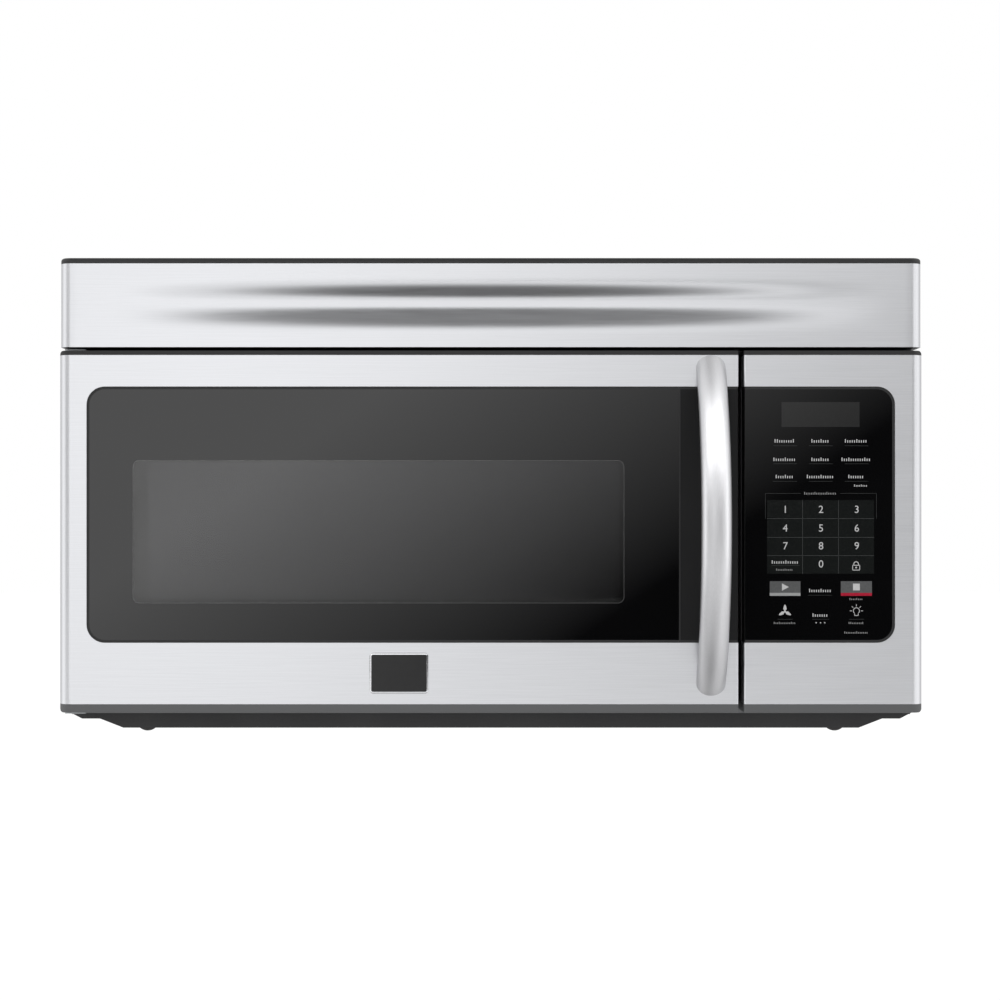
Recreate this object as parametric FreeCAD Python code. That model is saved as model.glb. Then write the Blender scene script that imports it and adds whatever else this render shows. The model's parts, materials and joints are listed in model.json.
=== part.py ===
import FreeCAD, Part
import math
import os

from FreeCAD import Vector

# An over the range microwave: a wall-hung oven with a cooker hood built round it. Millimetres.
# The frame: X runs to the user's right, Y runs from the front into the wall, Z runs up.
# The wall is the plane Y = 0, X = 0 is the middle of the width, and Z = 0 is the level of the feet.

os.makedirs("parts", exist_ok=True)

AXIS_X, AXIS_Y, AXIS_Z = Vector(1, 0, 0), Vector(0, 1, 0), Vector(0, 0, 1)

# ---- Driving dimensions ------------------------------------------------------------------------

WIDTH = 759.5  # across the door and the control panel
HEIGHT = 422.0  # from the feet to the top of the case
DEPTH = 391.0  # from the wall to the steel front, without the handle

SHEET = 1.0  # case, pan, rear panel and front plate
SKIN = 0.8  # stainless steel skins on the front
TOUCH = 0.3  # the gap kept between curved or moving faces that all but touch
SLOT_ROOM = 1.0  # room round a piece that passes through a slot

# Wall plate
PLATE_WIDTH = 730.0
PLATE_HEIGHT = 392.0
PLATE_SHEET = 1.5
PLATE_BOLT_X = 660.0  # the four outer bolts
PLATE_BOLT_Z = 320.0
PLATE_BOLT_LOW = 36.0  # the lower bolts above the plate's lower edge
STUD_X = 406.4  # the inner four suit wall studs 16 inches apart
BOLT_HOLE_R = 3.5
WINDOW_COLUMNS = 6
WINDOW_ROWS = 2
WINDOW_WIDTH = 72.0
WINDOW_HEIGHT = 70.0
WINDOW_RADIUS = 8.0
HOOK_X = 500.0  # spacing of the two hooks that carry the oven
HOOK_WIDTH = 28.0
HOOK_LIP = 11.0
WALL_GAP = 0.5  # between the wall plate and the oven's back

# Case and pan
CASE_INSET = 1.75  # the case is this much narrower than the front on each side
CASE_FLANGE = 24.0
DOOR_THICKNESS = 42.0
DOOR_GAP = 2.0  # between the closed door and the front plate
FOOT_HEIGHT = 4.1
FOOT_CHORD = 17.0
FOOT_IN = 67.0  # the feet's middles, from the case's sides
FOOT_FRONT = 58.0  # front feet behind the steel front
FOOT_REAR = 60.0  # rear feet ahead of the wall
PAN_RIM = 12.2  # height of the pan's rim over its floor
PAN_LEDGE = 8.2  # height of the ledge over its floor
PAN_RIM_IN = 2.5  # corners of the pan's section, from the case's sides
PAN_LEDGE_OUT_IN = 10.2
PAN_LEDGE_IN_IN = 26.3
PAN_FLOOR_IN = 47.4
PAN_SCREW_CHORD = 8.4
PAN_SCREW_HEAD = 1.7
PAN_SCREW_SIDE = 16.0  # from the case's sides
PAN_SCREW_IN = 16.0  # from the pan's front or rear wall
CABINET_BOLT_X = 508.0  # the two bolts that come down through the cabinet
CABINET_BOLT_Y = 290.0  # ahead of the wall
NUT_SIDE = 14.0
NUT_HEIGHT = 6.0
DUCT_WIDTH = 254.0  # duct opening in the top, 10 by 3 1/4 inches
DUCT_DEPTH = 82.6
DUCT_BACK = 24.0  # behind it, to the wall
DUCT_LAP = 14.0  # the exhaust adapter's flange laps the opening by this much
COLLAR_HEIGHT = 24.0  # of the exhaust adapter over the case
DAMPER_HEIGHT = 8.0  # the damper's pivot over the case
DAMPER_PIN_R = 1.5
DAMPER_FIT = 0.06
DAMPER_STOP = 3.0  # ledge that the closed damper lies over
CORD_IN = 48.0  # the cord's outlet, from the case's right side
CORD_Y = 42.0
CORD_BORE_R = 6.5
BUSH_WALL = 3.0
BUSH_LAP = 3.5
BUSH_HEAD = 2.0
SCREW_R = 2.0
SCREW_HEAD_R = 4.0
SCREW_HEAD = 1.6
SCREW_LENGTH = 7.0
CASE_SCREW_SHARES = (0.2, 0.5, 0.8)  # up each side of the case
DUCT_SCREW_SHARES = (0.2, 0.8)  # along the duct opening
HINGE_SCREW_SHARES = (0.4, 0.78)  # along a hinge's foot

# Front layout, heights over the feet
DOOR_OVER_RIM = 6.0  # from the pan's rim up to the underside of the door and the control panel
VENT_TALL = 78.4  # the vent panel
PANEL_WIDTH = 157.65  # the control panel
SPLIT_GAP = 4.6  # upright gap between door and control panel
VENT_GAP = 3.1  # level gap between door and vent panel
LIP_LOW = 7.4  # dark moulding that shows under the steel
LIP_HIGH = 3.9  # and over it
LIP_ROUND = 4.5
CORNER_ROUND = 10.0  # the front's outer upright edges
INNER_ROUND = 1.5
SKIN_RETURN = 22.0  # how far the steel turns back round the edges
BAND_SIDE = 25.0  # steel bands round the black glass
BAND_LOW = 53.9
BAND_HIGH = 27.6
GLASS_ROUND = 16.0
GLASS_RIM = 2.4  # black rim of the moulding between steel and glass
GLASS_SUNK = 0.5
GLASS_SHEET = 3.2
TRIM_WIDTH = 51.0  # black strip behind the handle
TRIM_SHEET = 4.2
TRIM_LINE = 1.3  # dark line between the glass and the strip
GLASS_EDGE = 1.0  # moulding left beside the glass at the upright gap
MOULDING = 3.0  # wall of the plastic mouldings
FRONT_WALL = 7.0  # front wall of the mouldings that hold the glass

# Door
WINDOW_X = 65.7  # see-through window, from the door's left edge
WINDOW_RIGHT = 100.55  # from its right edge
WINDOW_Z = 96.2  # from its underside
WINDOW_DOWN = 96.5  # and from its top
WINDOW_LAP = 8.0
SCREEN_LAP = 14.0
SCREEN_SHEET = 1.0
CHOKE_SHEET = 1.0
CHOKE_COVER = 3.0
CHOKE_OUT = 26.0  # the choke wall outside the window
CHOKE_WALL = 16.0  # its depth
HINGE_IN = 12.2  # the hinge pin, from the door's left edge
HINGE_BACK = 20.0  # and from its steel front
HINGE_PIN_R = 3.0
HINGE_PIN_LONG = 9.0
HINGE_FIT = 0.08  # radial play of the pin in the door
HINGE_SHEET = 2.0
HINGE_WIDTH = 18.0
HINGE_FOOT = 24.0
HINGE_CHAMFER = 10.0
BADGE_X = 299.3  # the bare badge, from the door's left edge to its middle
BADGE_Z = 34.7
BADGE_LONG = 51.6
BADGE_TALL = 35.5
BADGE_THICK = 1.6
BADGE_ROUND = 3.0

# Handle: a flat oval bar bent to one arc, cut off by the door
HANDLE_LOW = 7.4  # its lower end, over the steel's lower edge
HANDLE_HIGH = 0.2  # its upper end, below the steel's upper edge
HANDLE_RISE = 47.0  # its middle line over the steel front
HANDLE_WIDE = 26.0
HANDLE_THICK = 14.0
HANDLE_IN = 24.3  # its middle line, from the door's right edge
HANDLE_SWEEP = 60.0  # degrees each way, before the door cuts the arc off
HANDLE_SCREW_IN = 16.0  # the screws, from the handle's ends
HANDLE_SCREW_R = 2.5
HANDLE_SCREW_BITE = 5.0

# Latch
HOOK_BAR = 8.0
HOOK_IN = 17.0  # the hook bar, from the door's right edge
HOOK_END = 63.85  # from the door's underside and top to the ends of the hook bar
HOOK_ARM = 16.0
HOOK_THICK = 4.0
HOOK_REACH = 20.0  # how far an arm stands out of the door
HOOK_BARB = 3.0
HOOK_TRAVEL = 4.0
LATCH_SPRING_R = 3.0
LATCH_SPRING_LONG = 24.0
LATCH_SPRING_WIRE = 0.8
LATCH_SPRING_TURNS = 6
SWITCH_LONG = 28.0
SWITCH_TALL = 16.0
SWITCH_THICK = 10.0
SWITCH_BUTTON_R = 1.5
SWITCH_BUTTON_OUT = 2.0
BUTTON_FIT = 0.06

# Vent panel over the door
VENT_LIP = 5.0
VENT_INSET = 0.9  # the vent panel is this much narrower than the door on each side
VENT_TOP_ROUND = 2.6
VENT_SINK = 0.5  # its top lies this much below the case
VALLEY_DEEP = 6.5  # the long valley pressed into the steel
VALLEY_FROM_TOP = 34.1  # the middle of its level floor, below the steel's top edge
VALLEY_FLOOR = 4.4  # width of the floor
VALLEY_UP = 23.0  # from the floor to its upper edge
VALLEY_DOWN = 30.0  # and to its lower edge
VALLEY_HOLLOW = 5  # the higher, the steeper its flanks are beside the floor
VALLEY_FADE = 1.5  # how it fades out towards its ends
VALLEY_END = 0.92  # share of the half width where it has faded out
VALLEY_SECTIONS = 17
VALLEY_POINTS = 27
LOUVRES = 44
LOUVRE_WIDE = 5.0
LOUVRE_LONG = 24.0
LOUVRE_END = 30.0  # clear length at each end of the row
CHARCOAL_LONG = 300.0
CHARCOAL_TALL = 56.0
CHARCOAL_THICK = 16.0
CHARCOAL_CELLS = 12
CHARCOAL_WALL = 4.7  # between two cells
FILTER_LAP = 8.0  # the charcoal filter's frame, which laps its opening

# Oven cavity
CAVITY_LEFT = 30.75  # from the door's left edge to the inside of the left wall
CAVITY_RIGHT = 37.5  # from the inside of the right wall to the door's right edge
CAVITY_LOW = 62.0  # the oven floor over the feet
HOOD_TALL = 125.0  # from the oven's top to the case's
CAVITY_DEEP = 325.0
CAVITY_SHEET = 0.8
PORT_WIDE = 80.0  # microwave port in the right wall
PORT_TALL = 50.0
PORT_Y = 165.0  # its middle, ahead of the wall
PORT_DOWN = 65.0  # its middle, below the oven's top
MICA_SHEET = 0.6
MICA_LAP = 8.0
LAMP_GRID = 5
LAMP_HOLE_R = 1.8
LAMP_PITCH = 7.0
LAMP_BACK = 0.35  # the oven lamp's place as a share of the oven's depth
LAMP_DOWN = 40.0  # and below its top

# Turntable
TRAY_R = 157.5
TRAY_SHEET = 5.0
TRAY_RIM = 9.0
TRAY_RIM_WIDE = 12.0
TRAY_LIP = 4.0
TRAY_LUGS = 3
LUG_R = 13.0
LUG_HALF = 2.5
LUG_HIGH = 3.0
COUPLER_R = 9.0
COUPLER_LOBE = 4.0
SHAFT_R = 3.5
SHAFT_HOLE_R = 6.0
RING_IN = 88.0
RING_OUT = 100.0
RING_HIGH = 6.0
ROLLERS = 3
ROLLER_R = 7.5
ROLLER_WIDE = 8.0
ROLLER_PIN_R = 2.0
ROLLER_CAP_R = 3.4  # disc on the pin's end that keeps the roller on
ROLLER_FIT = 0.06
ROLLER_PLAY = 0.5
TT_MOTOR_R = 25.0
TT_MOTOR_HIGH = 16.0
TT_MOTOR_EAR = 11.25  # its ears, beyond its rim
SHAFT_DEEP = 12.0  # how far the coupler's shaft goes into the motor

# Hood blower, over the oven at the back
BLOWER_Y = 92.0  # shaft, ahead of the wall
BLOWER_WHEEL_R = 47.0
BLOWER_WHEEL_LONG = 70.0
BLOWER_BLADES = 30
BLADE_SHEET = 1.2
BLADE_DEEP = 10.0
WHEEL_HUB_R = 10.0
BLOWER_PLAY = 3.5  # between wheel and housing
HOUSING_WALL = 1.5
HOUSING_FOOT = 40.0
HOUSING_INLET_R = 36.0
MOTOR_R = 42.0
MOTOR_LONG = 70.0
MOTOR_GAP = 6.0
BLOWER_SHAFT_R = 4.0
SHAFT_FIT = 0.05

# Component bay at the right
MAGNETRON_LONG = 92.0
YOKE_LONG = 57.0  # its yoke, the rest is the filter box
YOKE_SHEET = 2.0
TUBE_R = 19.5
FILTER_BOX_WIDE = 61.5
FILTER_BOX_HIGH = 62.4
MAGNETRON_WIDE = 82.0
MAGNETRON_HIGH = 78.0
MAGNETRON_FINS = 9
GUIDE_OUT = 42.0  # waveguide depth from the cavity wall
GUIDE_TALL = 118.0
GUIDE_WIDE = 96.0
ANTENNA_R = 9.0
ANTENNA_LONG = 26.0
FIN_SHEET = 0.8
BAY_SHIFT = 20.0  # the transformer and the capacitor stand this far right of the bay's middle
BAY_FRONT = 30.0  # room between the front plate and the transformer
CORE_LONG = 104.0
CORE_WIDE = 62.0
CORE_HIGH = 86.0
COIL_OVER = 17.0
COIL_ROUND = 10.2
CAPACITOR_LONG = 52.0
CAPACITOR_WIDE = 34.0
CAPACITOR_HIGH = 53.3
CAPACITOR_ROUND = 15.3
TAB_COLLAR_R = 5.0
TAB_COLLAR = 4.0
TAB_WIDE = 6.0
TAB_LONG = 14.0
TAB_SHEET = 0.8
FAN_R = 54.0
FAN_BLADES = 5
FAN_DEEP = 16.0
FAN_PITCH = 24.0  # of its blades, in degrees
FAN_Y = 62.0  # middle of the fan, ahead of the wall
FAN_MOTOR_R = 24.0
FAN_MOTOR_LONG = 26.0
FAN_SHAFT_R = 2.5
FAN_PLATE_SIDE = 128.0
FAN_OPENING_R = 58.0
FAN_HUB_R = 13.5
FAN_BLADE_WIDE = 34.6
FAN_BLADE_SHEET = 1.6
AIR_SLOTS = 9  # in the rear panel, behind the fan
AIR_SLOT_TALL = 4.0

# Hood underside
FILTER_LONG = 194.0
FILTER_DEEP = 128.0
FILTER_THICK = 5.0
FILTER_X = 196.0  # middle of each filter
FILTER_Y = 150.0  # ahead of the wall
FILTER_FRAME = 7.0
FILTER_BARS = 15
FILTER_BAR_WIDE = 2.2
FILTER_ROOM = 0.5
LENS_LONG = 84.0
LENS_DEEP = 44.0
LENS_THICK = 3.0
LENS_X = 176.0
LENS_Y = 292.0  # ahead of the wall
LENS_LAP = 5.0
LAMP_R = 12.0
LAMP_LONG = 34.0
BULB_OUT = 1.7  # the bulb's middle, in radii from where its neck starts
BULB_SOCKET = 8.0
OVEN_BULB_R = 9.6

# Control panel
DISPLAY_LEFT = 32.95  # from the panel's left edge to the display's left edge
DISPLAY_TALL = 22.1
DISPLAY_IN = 56.0  # from the panel's right edge to the display's right edge
DISPLAY_DOWN = 13.5  # from the glass's top edge to the display's top edge
BOARD_SHEET = 1.6
BOARD_LEFT = 15.3  # the board's edges, from the door gap, the panel's right edge, underside and top
BOARD_RIGHT = 38.35
BOARD_LOW = 63.85
BOARD_HIGH = 43.0
BOARD_POST = 8.0
WIRE_HOLE_R = 14.0
# parts on the board: place across and up it as shares, then length, height and depth
BOARD_CHIPS = [
    (0.25, 0.2, 24.0, 30.0, 18.0),
    (0.72, 0.2, 30.0, 26.0, 22.0),
    (0.3, 0.48, 20.0, 20.0, 14.0),
    (0.7, 0.48, 22.0, 16.0, 6.0),
]

# ---- Places worked out from them ---------------------------------------------------------------

LEFT, RIGHT = -WIDTH / 2, WIDTH / 2
FRONT = -DEPTH
PAN_FLOOR = FOOT_HEIGHT
RIM_Z = PAN_FLOOR + PAN_RIM
DOOR_LOW = RIM_Z + DOOR_OVER_RIM
PANEL_LEFT = RIGHT - PANEL_WIDTH
DOOR_RIGHT = PANEL_LEFT - SPLIT_GAP
VENT_TOP = HEIGHT - VENT_SINK
VENT_LOW = VENT_TOP - VENT_TALL
DOOR_TOP = VENT_LOW - VENT_GAP
DOOR_HEIGHT = DOOR_TOP - DOOR_LOW
STEEL_LOW, STEEL_TOP = DOOR_LOW + LIP_LOW, DOOR_TOP - LIP_HIGH
GLASS_LOW, GLASS_TOP = STEEL_LOW + BAND_LOW, STEEL_TOP - BAND_HIGH
DOOR_BACK = FRONT + DOOR_THICKNESS
FACE = DOOR_BACK + DOOR_GAP  # front of the front plate
CASE_FRONT = FACE + SHEET
BACK = -(PLATE_SHEET + WALL_GAP)  # outside of the rear panel
CASE_X = WIDTH / 2 - CASE_INSET
FOOT_X = CASE_X - FOOT_IN
PAN_SCREW_X = CASE_X - PAN_SCREW_SIDE
CORD_X = CASE_X - CORD_IN
CASE_LOW = RIM_Z + SHEET
CAVITY_X0 = LEFT + CAVITY_LEFT
CAVITY_X1 = DOOR_RIGHT - CAVITY_RIGHT
CAVITY_TOP = HEIGHT - HOOD_TALL
CAVITY_BACK = CASE_FRONT + CAVITY_DEEP
CAVITY_MID_X = (CAVITY_X0 + CAVITY_X1) / 2
CAVITY_MID_Y = (CASE_FRONT + CAVITY_BACK) / 2
CAVITY_SIDE = CAVITY_X1 + CAVITY_SHEET  # outside of the oven's right wall
TRIM_LEFT = DOOR_RIGHT - TRIM_WIDTH
VENT_STEEL_TOP = VENT_TOP - VENT_LIP
VENT_X = WIDTH / 2 - VENT_INSET
HANDLE_X = DOOR_RIGHT - HANDLE_IN
HANDLE_ENDS = (STEEL_LOW + HANDLE_LOW, STEEL_TOP - HANDLE_HIGH)
HANDLE_LONG = HANDLE_ENDS[1] - HANDLE_ENDS[0]
HANDLE_Z = sum(HANDLE_ENDS) / 2
LATCH_X = DOOR_RIGHT - HOOK_IN
LATCH_Z = DOOR_LOW + DOOR_HEIGHT / 2
HOOK_TALL = DOOR_HEIGHT - 2 * HOOK_END
ARM_HIGH_Z = LATCH_Z + HOOK_TALL / 2 - HOOK_ARM / 2
ARM_LOW_Z = LATCH_Z - HOOK_TALL / 2 + HOOK_ARM / 2
LATCH_BAR_BACK = DOOR_BACK - CHOKE_COVER - CHOKE_SHEET - 2 * SLOT_ROOM
BAY_X = (CAVITY_SIDE + CASE_X) / 2  # middle of the component bay
TRAY_Z = CAVITY_LOW + 2 * ROLLER_R + 2 * TOUCH
ROLLER_Z = CAVITY_LOW + ROLLER_R + TOUCH
BLOWER_Z = (CAVITY_TOP + HEIGHT) / 2
HOUSING_R = BLOWER_WHEEL_R + BLOWER_PLAY + HOUSING_WALL
HOUSING_LONG = BLOWER_WHEEL_LONG + 2 * BLOWER_PLAY + 2 * HOUSING_WALL
HOUSING_X = MOTOR_LONG / 2 + MOTOR_GAP + HOUSING_LONG / 2


# ---- Plain shapes ------------------------------------------------------------------------------


def block(x0, x1, y0, y1, z0, z1):
    """A box between two corners."""
    return Part.makeBox(x1 - x0, y1 - y0, z1 - z0, Vector(x0, y0, z0))


def rod(x, y, z, axis, length, radius):
    """A round bar that starts at a point and runs along an axis."""
    return Part.makeCylinder(radius, length, Vector(x, y, z), axis)


def prism_y(outline, y0, y1):
    """An outline of (x, z) corners, drawn out from y0 to y1."""
    corners = [Vector(x, y0, z) for x, z in outline]
    return Part.Face(Part.makePolygon(corners + corners[:1])).extrude(AXIS_Y * (y1 - y0))


def prism_x(outline, x0, x1):
    """An outline of (y, z) corners, drawn out from x0 to x1."""
    corners = [Vector(x0, y, z) for y, z in outline]
    return Part.Face(Part.makePolygon(corners + corners[:1])).extrude(AXIS_X * (x1 - x0))


def round_edges(shape, radius, axis, **at):
    """Rounds the straight edges that run along an axis at the given x, y or z."""
    chosen = []
    for edge in shape.Edges:
        ends = [v.Point for v in edge.Vertexes]
        if len(ends) != 2 or abs((ends[1] - ends[0]).cross(axis).Length) > 1e-6:
            continue
        middle = {"x": edge.CenterOfMass.x, "y": edge.CenterOfMass.y, "z": edge.CenterOfMass.z}
        if all(abs(middle[name] - value) < 1e-6 for name, value in at.items()):
            chosen.append(edge)
    return shape.makeFillet(radius, chosen)


def upright_plate(x0, x1, z0, z1, y0, y1, left=0.0, right=0.0):
    """A plate that stands across Y, with its left and right corners rounded."""
    plate = block(x0, x1, y0, y1, z0, z1)
    if left:
        plate = round_edges(plate, left, AXIS_Y, x=x0)
    if right:
        plate = round_edges(plate, right, AXIS_Y, x=x1)
    return plate


def front_block(x0, x1, front, back, z0, z1, left, right):
    """A block whose front upright edges are rounded, as the front's mouldings and skins are."""
    solid = block(x0, x1, front, back, z0, z1)
    solid = round_edges(solid, left, AXIS_Z, x=x0, y=front)
    return round_edges(solid, right, AXIS_Z, x=x1, y=front)


def cap(x, y, z, chord, height):
    """A domed cap that hangs from a level face at z."""
    radius = (chord * chord / 4 + height * height) / (2 * height)
    ball = Part.makeSphere(radius, Vector(x, y, z - height + radius))
    reach = chord
    return ball.common(block(x - reach, x + reach, y - reach, y + reach, z - height, z))


def screw(x, y, z, axis, length=SCREW_LENGTH):
    """A screw with its head outside a face at the point; axis points out of the face."""
    head = rod(x, y, z, axis, SCREW_HEAD, SCREW_HEAD_R)
    start = Vector(x, y, z) - axis * length
    return head.fuse(rod(start.x, start.y, start.z, axis, length, SCREW_R)).removeSplitter()


def screw_hole(x, y, z, axis, length=SCREW_LENGTH):
    """The hole that a screw's shank sits in."""
    start = Vector(x, y, z) - axis * (length + TOUCH)
    return rod(start.x, start.y, start.z, axis, length + 2 * TOUCH, SCREW_R)


def save(name, *solids):
    """Writes one node, checked to be closed solids."""
    shape = Part.makeCompound([s for shape in solids for s in shape.Solids])
    assert shape.Solids and shape.isValid(), name
    shape.exportStep("parts/" + name + ".step")
    return shape


# ---- Wall plate --------------------------------------------------------------------------------


def hook_slot(x):
    """The slot in the oven's back that a hook of the wall plate enters."""
    half = HOOK_WIDTH / 2 + SLOT_ROOM
    return block(x - half, x + half, BACK - SHEET - TOUCH, BACK + TOUCH, PAN_FLOOR + SHEET, RIM_Z)


def wall_plate():
    plate = block(-PLATE_WIDTH / 2, PLATE_WIDTH / 2, -PLATE_SHEET, 0, 0, PLATE_HEIGHT)
    column_pitch = PLATE_WIDTH / (WINDOW_COLUMNS + 1)
    row_pitch = PLATE_HEIGHT / (WINDOW_ROWS + 1)
    for column in range(WINDOW_COLUMNS):
        for row in range(WINDOW_ROWS):
            x = -PLATE_WIDTH / 2 + column_pitch * (column + 1)
            z = row_pitch * (row + 1)
            window = block(
                x - WINDOW_WIDTH / 2, x + WINDOW_WIDTH / 2, -2 * PLATE_SHEET, PLATE_SHEET,
                z - WINDOW_HEIGHT / 2, z + WINDOW_HEIGHT / 2,
            )
            plate = plate.cut(window.makeFillet(WINDOW_RADIUS, upright_edges(window, AXIS_Y)))
    for spacing in (PLATE_BOLT_X, STUD_X):
        for side in (-1, 1):
            for z in (PLATE_BOLT_LOW, PLATE_BOLT_LOW + PLATE_BOLT_Z):
                hole = rod(side * spacing / 2, -2 * PLATE_SHEET, z, AXIS_Y, 3 * PLATE_SHEET, BOLT_HOLE_R)
                plate = plate.cut(hole)
    shelf_z = PAN_FLOOR + SHEET + SLOT_ROOM
    lip_front = BACK - SHEET - SLOT_ROOM - PLATE_SHEET
    for side in (-1, 1):
        x0, x1 = side * HOOK_X / 2 - HOOK_WIDTH / 2, side * HOOK_X / 2 + HOOK_WIDTH / 2
        shelf = block(x0, x1, lip_front, -PLATE_SHEET, shelf_z, shelf_z + PLATE_SHEET)
        lip = block(x0, x1, lip_front, lip_front + PLATE_SHEET, shelf_z, shelf_z + HOOK_LIP)
        plate = plate.fuse(shelf).fuse(lip)
    return plate.removeSplitter()


def upright_edges(shape, axis):
    """The straight edges of a box that run along an axis."""
    return [e for e in shape.Edges if abs(e.tangentAt(e.FirstParameter).dot(axis)) > 0.999]


# ---- Case --------------------------------------------------------------------------------------


def duct_opening(grow=0.0, z0=0.0, z1=0.0):
    """The duct opening in the case's top, or a plate that laps it."""
    x = DUCT_WIDTH / 2 + grow
    return block(-x, x, -DUCT_BACK - DUCT_DEPTH - grow, -DUCT_BACK + grow, z0, z1)


def duct_screw_places():
    x = DUCT_WIDTH / 2 + DUCT_LAP / 2
    places = [-DUCT_BACK - share * DUCT_DEPTH for share in DUCT_SCREW_SHARES]
    return [(side * x, y) for side in (-1, 1) for y in places]


def case_screw_places():
    """The screws that hold the case's sides to the rear panel's flanges, as (side, z)."""
    tall = HEIGHT - CASE_LOW
    return [(side, CASE_LOW + share * tall) for side in (-1, 1) for share in CASE_SCREW_SHARES]


def outer_case():
    shell = block(-CASE_X, CASE_X, CASE_FRONT, BACK, CASE_LOW, HEIGHT)
    inner_x = CASE_X - SHEET
    shell = shell.cut(block(-inner_x, inner_x, CASE_FRONT, BACK, CASE_LOW, HEIGHT - SHEET))
    for side in (-1, 1):
        x0, x1 = sorted((side * CASE_X, side * (CASE_X - CASE_FLANGE)))
        shell = shell.fuse(block(x0, x1, CASE_FRONT, BACK - SHEET, CASE_LOW, CASE_LOW + SHEET))
    shell = shell.cut(duct_opening(0, HEIGHT - 2 * SHEET, HEIGHT + SHEET))
    nut_low = HEIGHT - SHEET - NUT_HEIGHT
    for side in (-1, 1):
        x, y, half = side * CABINET_BOLT_X / 2, -CABINET_BOLT_Y, NUT_SIDE / 2
        shell = shell.fuse(block(x - half, x + half, y - half, y + half, nut_low, HEIGHT - SHEET))
        shell = shell.cut(rod(x, y, nut_low, AXIS_Z, NUT_HEIGHT + SHEET, BOLT_HOLE_R))
    cord_hole_r = CORD_BORE_R + BUSH_WALL
    shell = shell.cut(rod(CORD_X, -CORD_Y, HEIGHT - 2 * SHEET, AXIS_Z, 3 * SHEET, cord_hole_r))
    for x, y in duct_screw_places():
        shell = shell.cut(screw_hole(x, y, HEIGHT + SHEET, AXIS_Z))
    for side, z in case_screw_places():
        shell = shell.cut(screw_hole(side * CASE_X, case_screw_y(), z, AXIS_X * side))
    for side, y in pan_screw_places():
        shell = shell.cut(rod(side * PAN_SCREW_X, y, CASE_LOW - SHEET, AXIS_Z, 3 * SHEET, SCREW_R))
    return shell.removeSplitter()


def case_screw_y():
    return BACK - SHEET - SCREW_HEAD_R - 2 * SHEET


def rear_panel():
    """The back, with a flange at each side that the case is screwed to."""
    x = CASE_X - SHEET
    z0, z1 = CASE_LOW + SHEET, HEIGHT - SHEET
    panel = block(-x, x, BACK - SHEET, BACK, z0, z1)
    flange_y = case_screw_y() - SCREW_HEAD_R - SHEET
    for side in (-1, 1):
        x0, x1 = sorted((side * x, side * (x - SHEET)))
        panel = panel.fuse(block(x0, x1, flange_y, BACK, z0, z1))
    for side, z in case_screw_places():
        panel = panel.cut(screw_hole(side * CASE_X, case_screw_y(), z, AXIS_X * side))
    slot_pitch = 2 * FAN_R / AIR_SLOTS
    half = AIR_SLOT_TALL / 2
    for i in range(AIR_SLOTS):
        z = fan_z() - FAN_R + (i + 0.5) * slot_pitch
        panel = panel.cut(block(BAY_X - FAN_R, BAY_X + FAN_R, BACK - 2 * SHEET, 0, z - half, z + half))
    return panel.removeSplitter()


def pan_outline(lift):
    """The pan's section across X, as (x, z) from its left rim to its right rim."""
    right = [
        (CASE_X - SHEET, RIM_Z + lift),
        (CASE_X - PAN_RIM_IN, RIM_Z + lift),
        (CASE_X - PAN_LEDGE_OUT_IN, PAN_FLOOR + PAN_LEDGE + lift),
        (CASE_X - PAN_LEDGE_IN_IN, PAN_FLOOR + PAN_LEDGE + lift),
        (CASE_X - PAN_FLOOR_IN, PAN_FLOOR + lift),
    ]
    return [(-x, z) for x, z in right] + right[::-1]


def pan_screw_places():
    return [(side, y) for side in (-1, 1) for y in (FACE + PAN_SCREW_IN, BACK - PAN_SCREW_IN)]


def filter_cut(side, grow, z0, z1):
    """The space of one grease filter, or of the opening it drops into."""
    x, y = side * FILTER_X, -FILTER_Y
    return block(
        x - FILTER_LONG / 2 - grow, x + FILTER_LONG / 2 + grow,
        y - FILTER_DEEP / 2 - grow, y + FILTER_DEEP / 2 + grow, z0, z1,
    )


def lens_cut(side, grow, z0, z1):
    """The space of one lamp lens, or of the opening that it closes."""
    x, y = side * LENS_X, -LENS_Y
    return block(
        x - LENS_LONG / 2 - grow, x + LENS_LONG / 2 + grow,
        y - LENS_DEEP / 2 - grow, y + LENS_DEEP / 2 + grow, z0, z1,
    )


def base_pan():
    """The pressed pan that is the hood's underside, with openings for filters and lamps."""
    above = RIM_Z + SHEET
    outer = prism_y(pan_outline(0) + [(CASE_X - SHEET, above), (-CASE_X + SHEET, above)], FACE, BACK)
    lining = pan_outline(SHEET)
    high = above + SHEET
    lining += [(CASE_X - SHEET, high), (-CASE_X + SHEET, high)]
    pan = outer.cut(prism_y(lining, FACE + SHEET, BACK - SHEET))
    for side in (-1, 1):
        pan = pan.cut(filter_cut(side, FILTER_ROOM, 0, above))
        pan = pan.cut(lens_cut(side, 0, 0, above))
        pan = pan.cut(hook_slot(side * HOOK_X / 2))
    for side, y in pan_screw_places():
        pan = pan.cut(rod(side * PAN_SCREW_X, y, 0, AXIS_Z, above, SCREW_R))
    return pan.removeSplitter()


def rubber_feet():
    places = [(side * FOOT_X, y) for side in (-1, 1) for y in (FRONT + FOOT_FRONT, -FOOT_REAR)]
    return [cap(x, y, PAN_FLOOR, FOOT_CHORD, FOOT_HEIGHT) for x, y in places]


def pan_screws():
    """Domed black screws that hold the pan's ledge up to the case's flanges."""
    solids = []
    for side, y in pan_screw_places():
        head_z = PAN_FLOOR + PAN_LEDGE
        head = cap(side * PAN_SCREW_X, y, head_z, PAN_SCREW_CHORD, PAN_SCREW_HEAD)
        shank = rod(side * PAN_SCREW_X, y, head_z, AXIS_Z, CASE_LOW + 2 * SHEET - head_z, SCREW_R)
        solids.append(head.fuse(shank).removeSplitter())
    return solids



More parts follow.
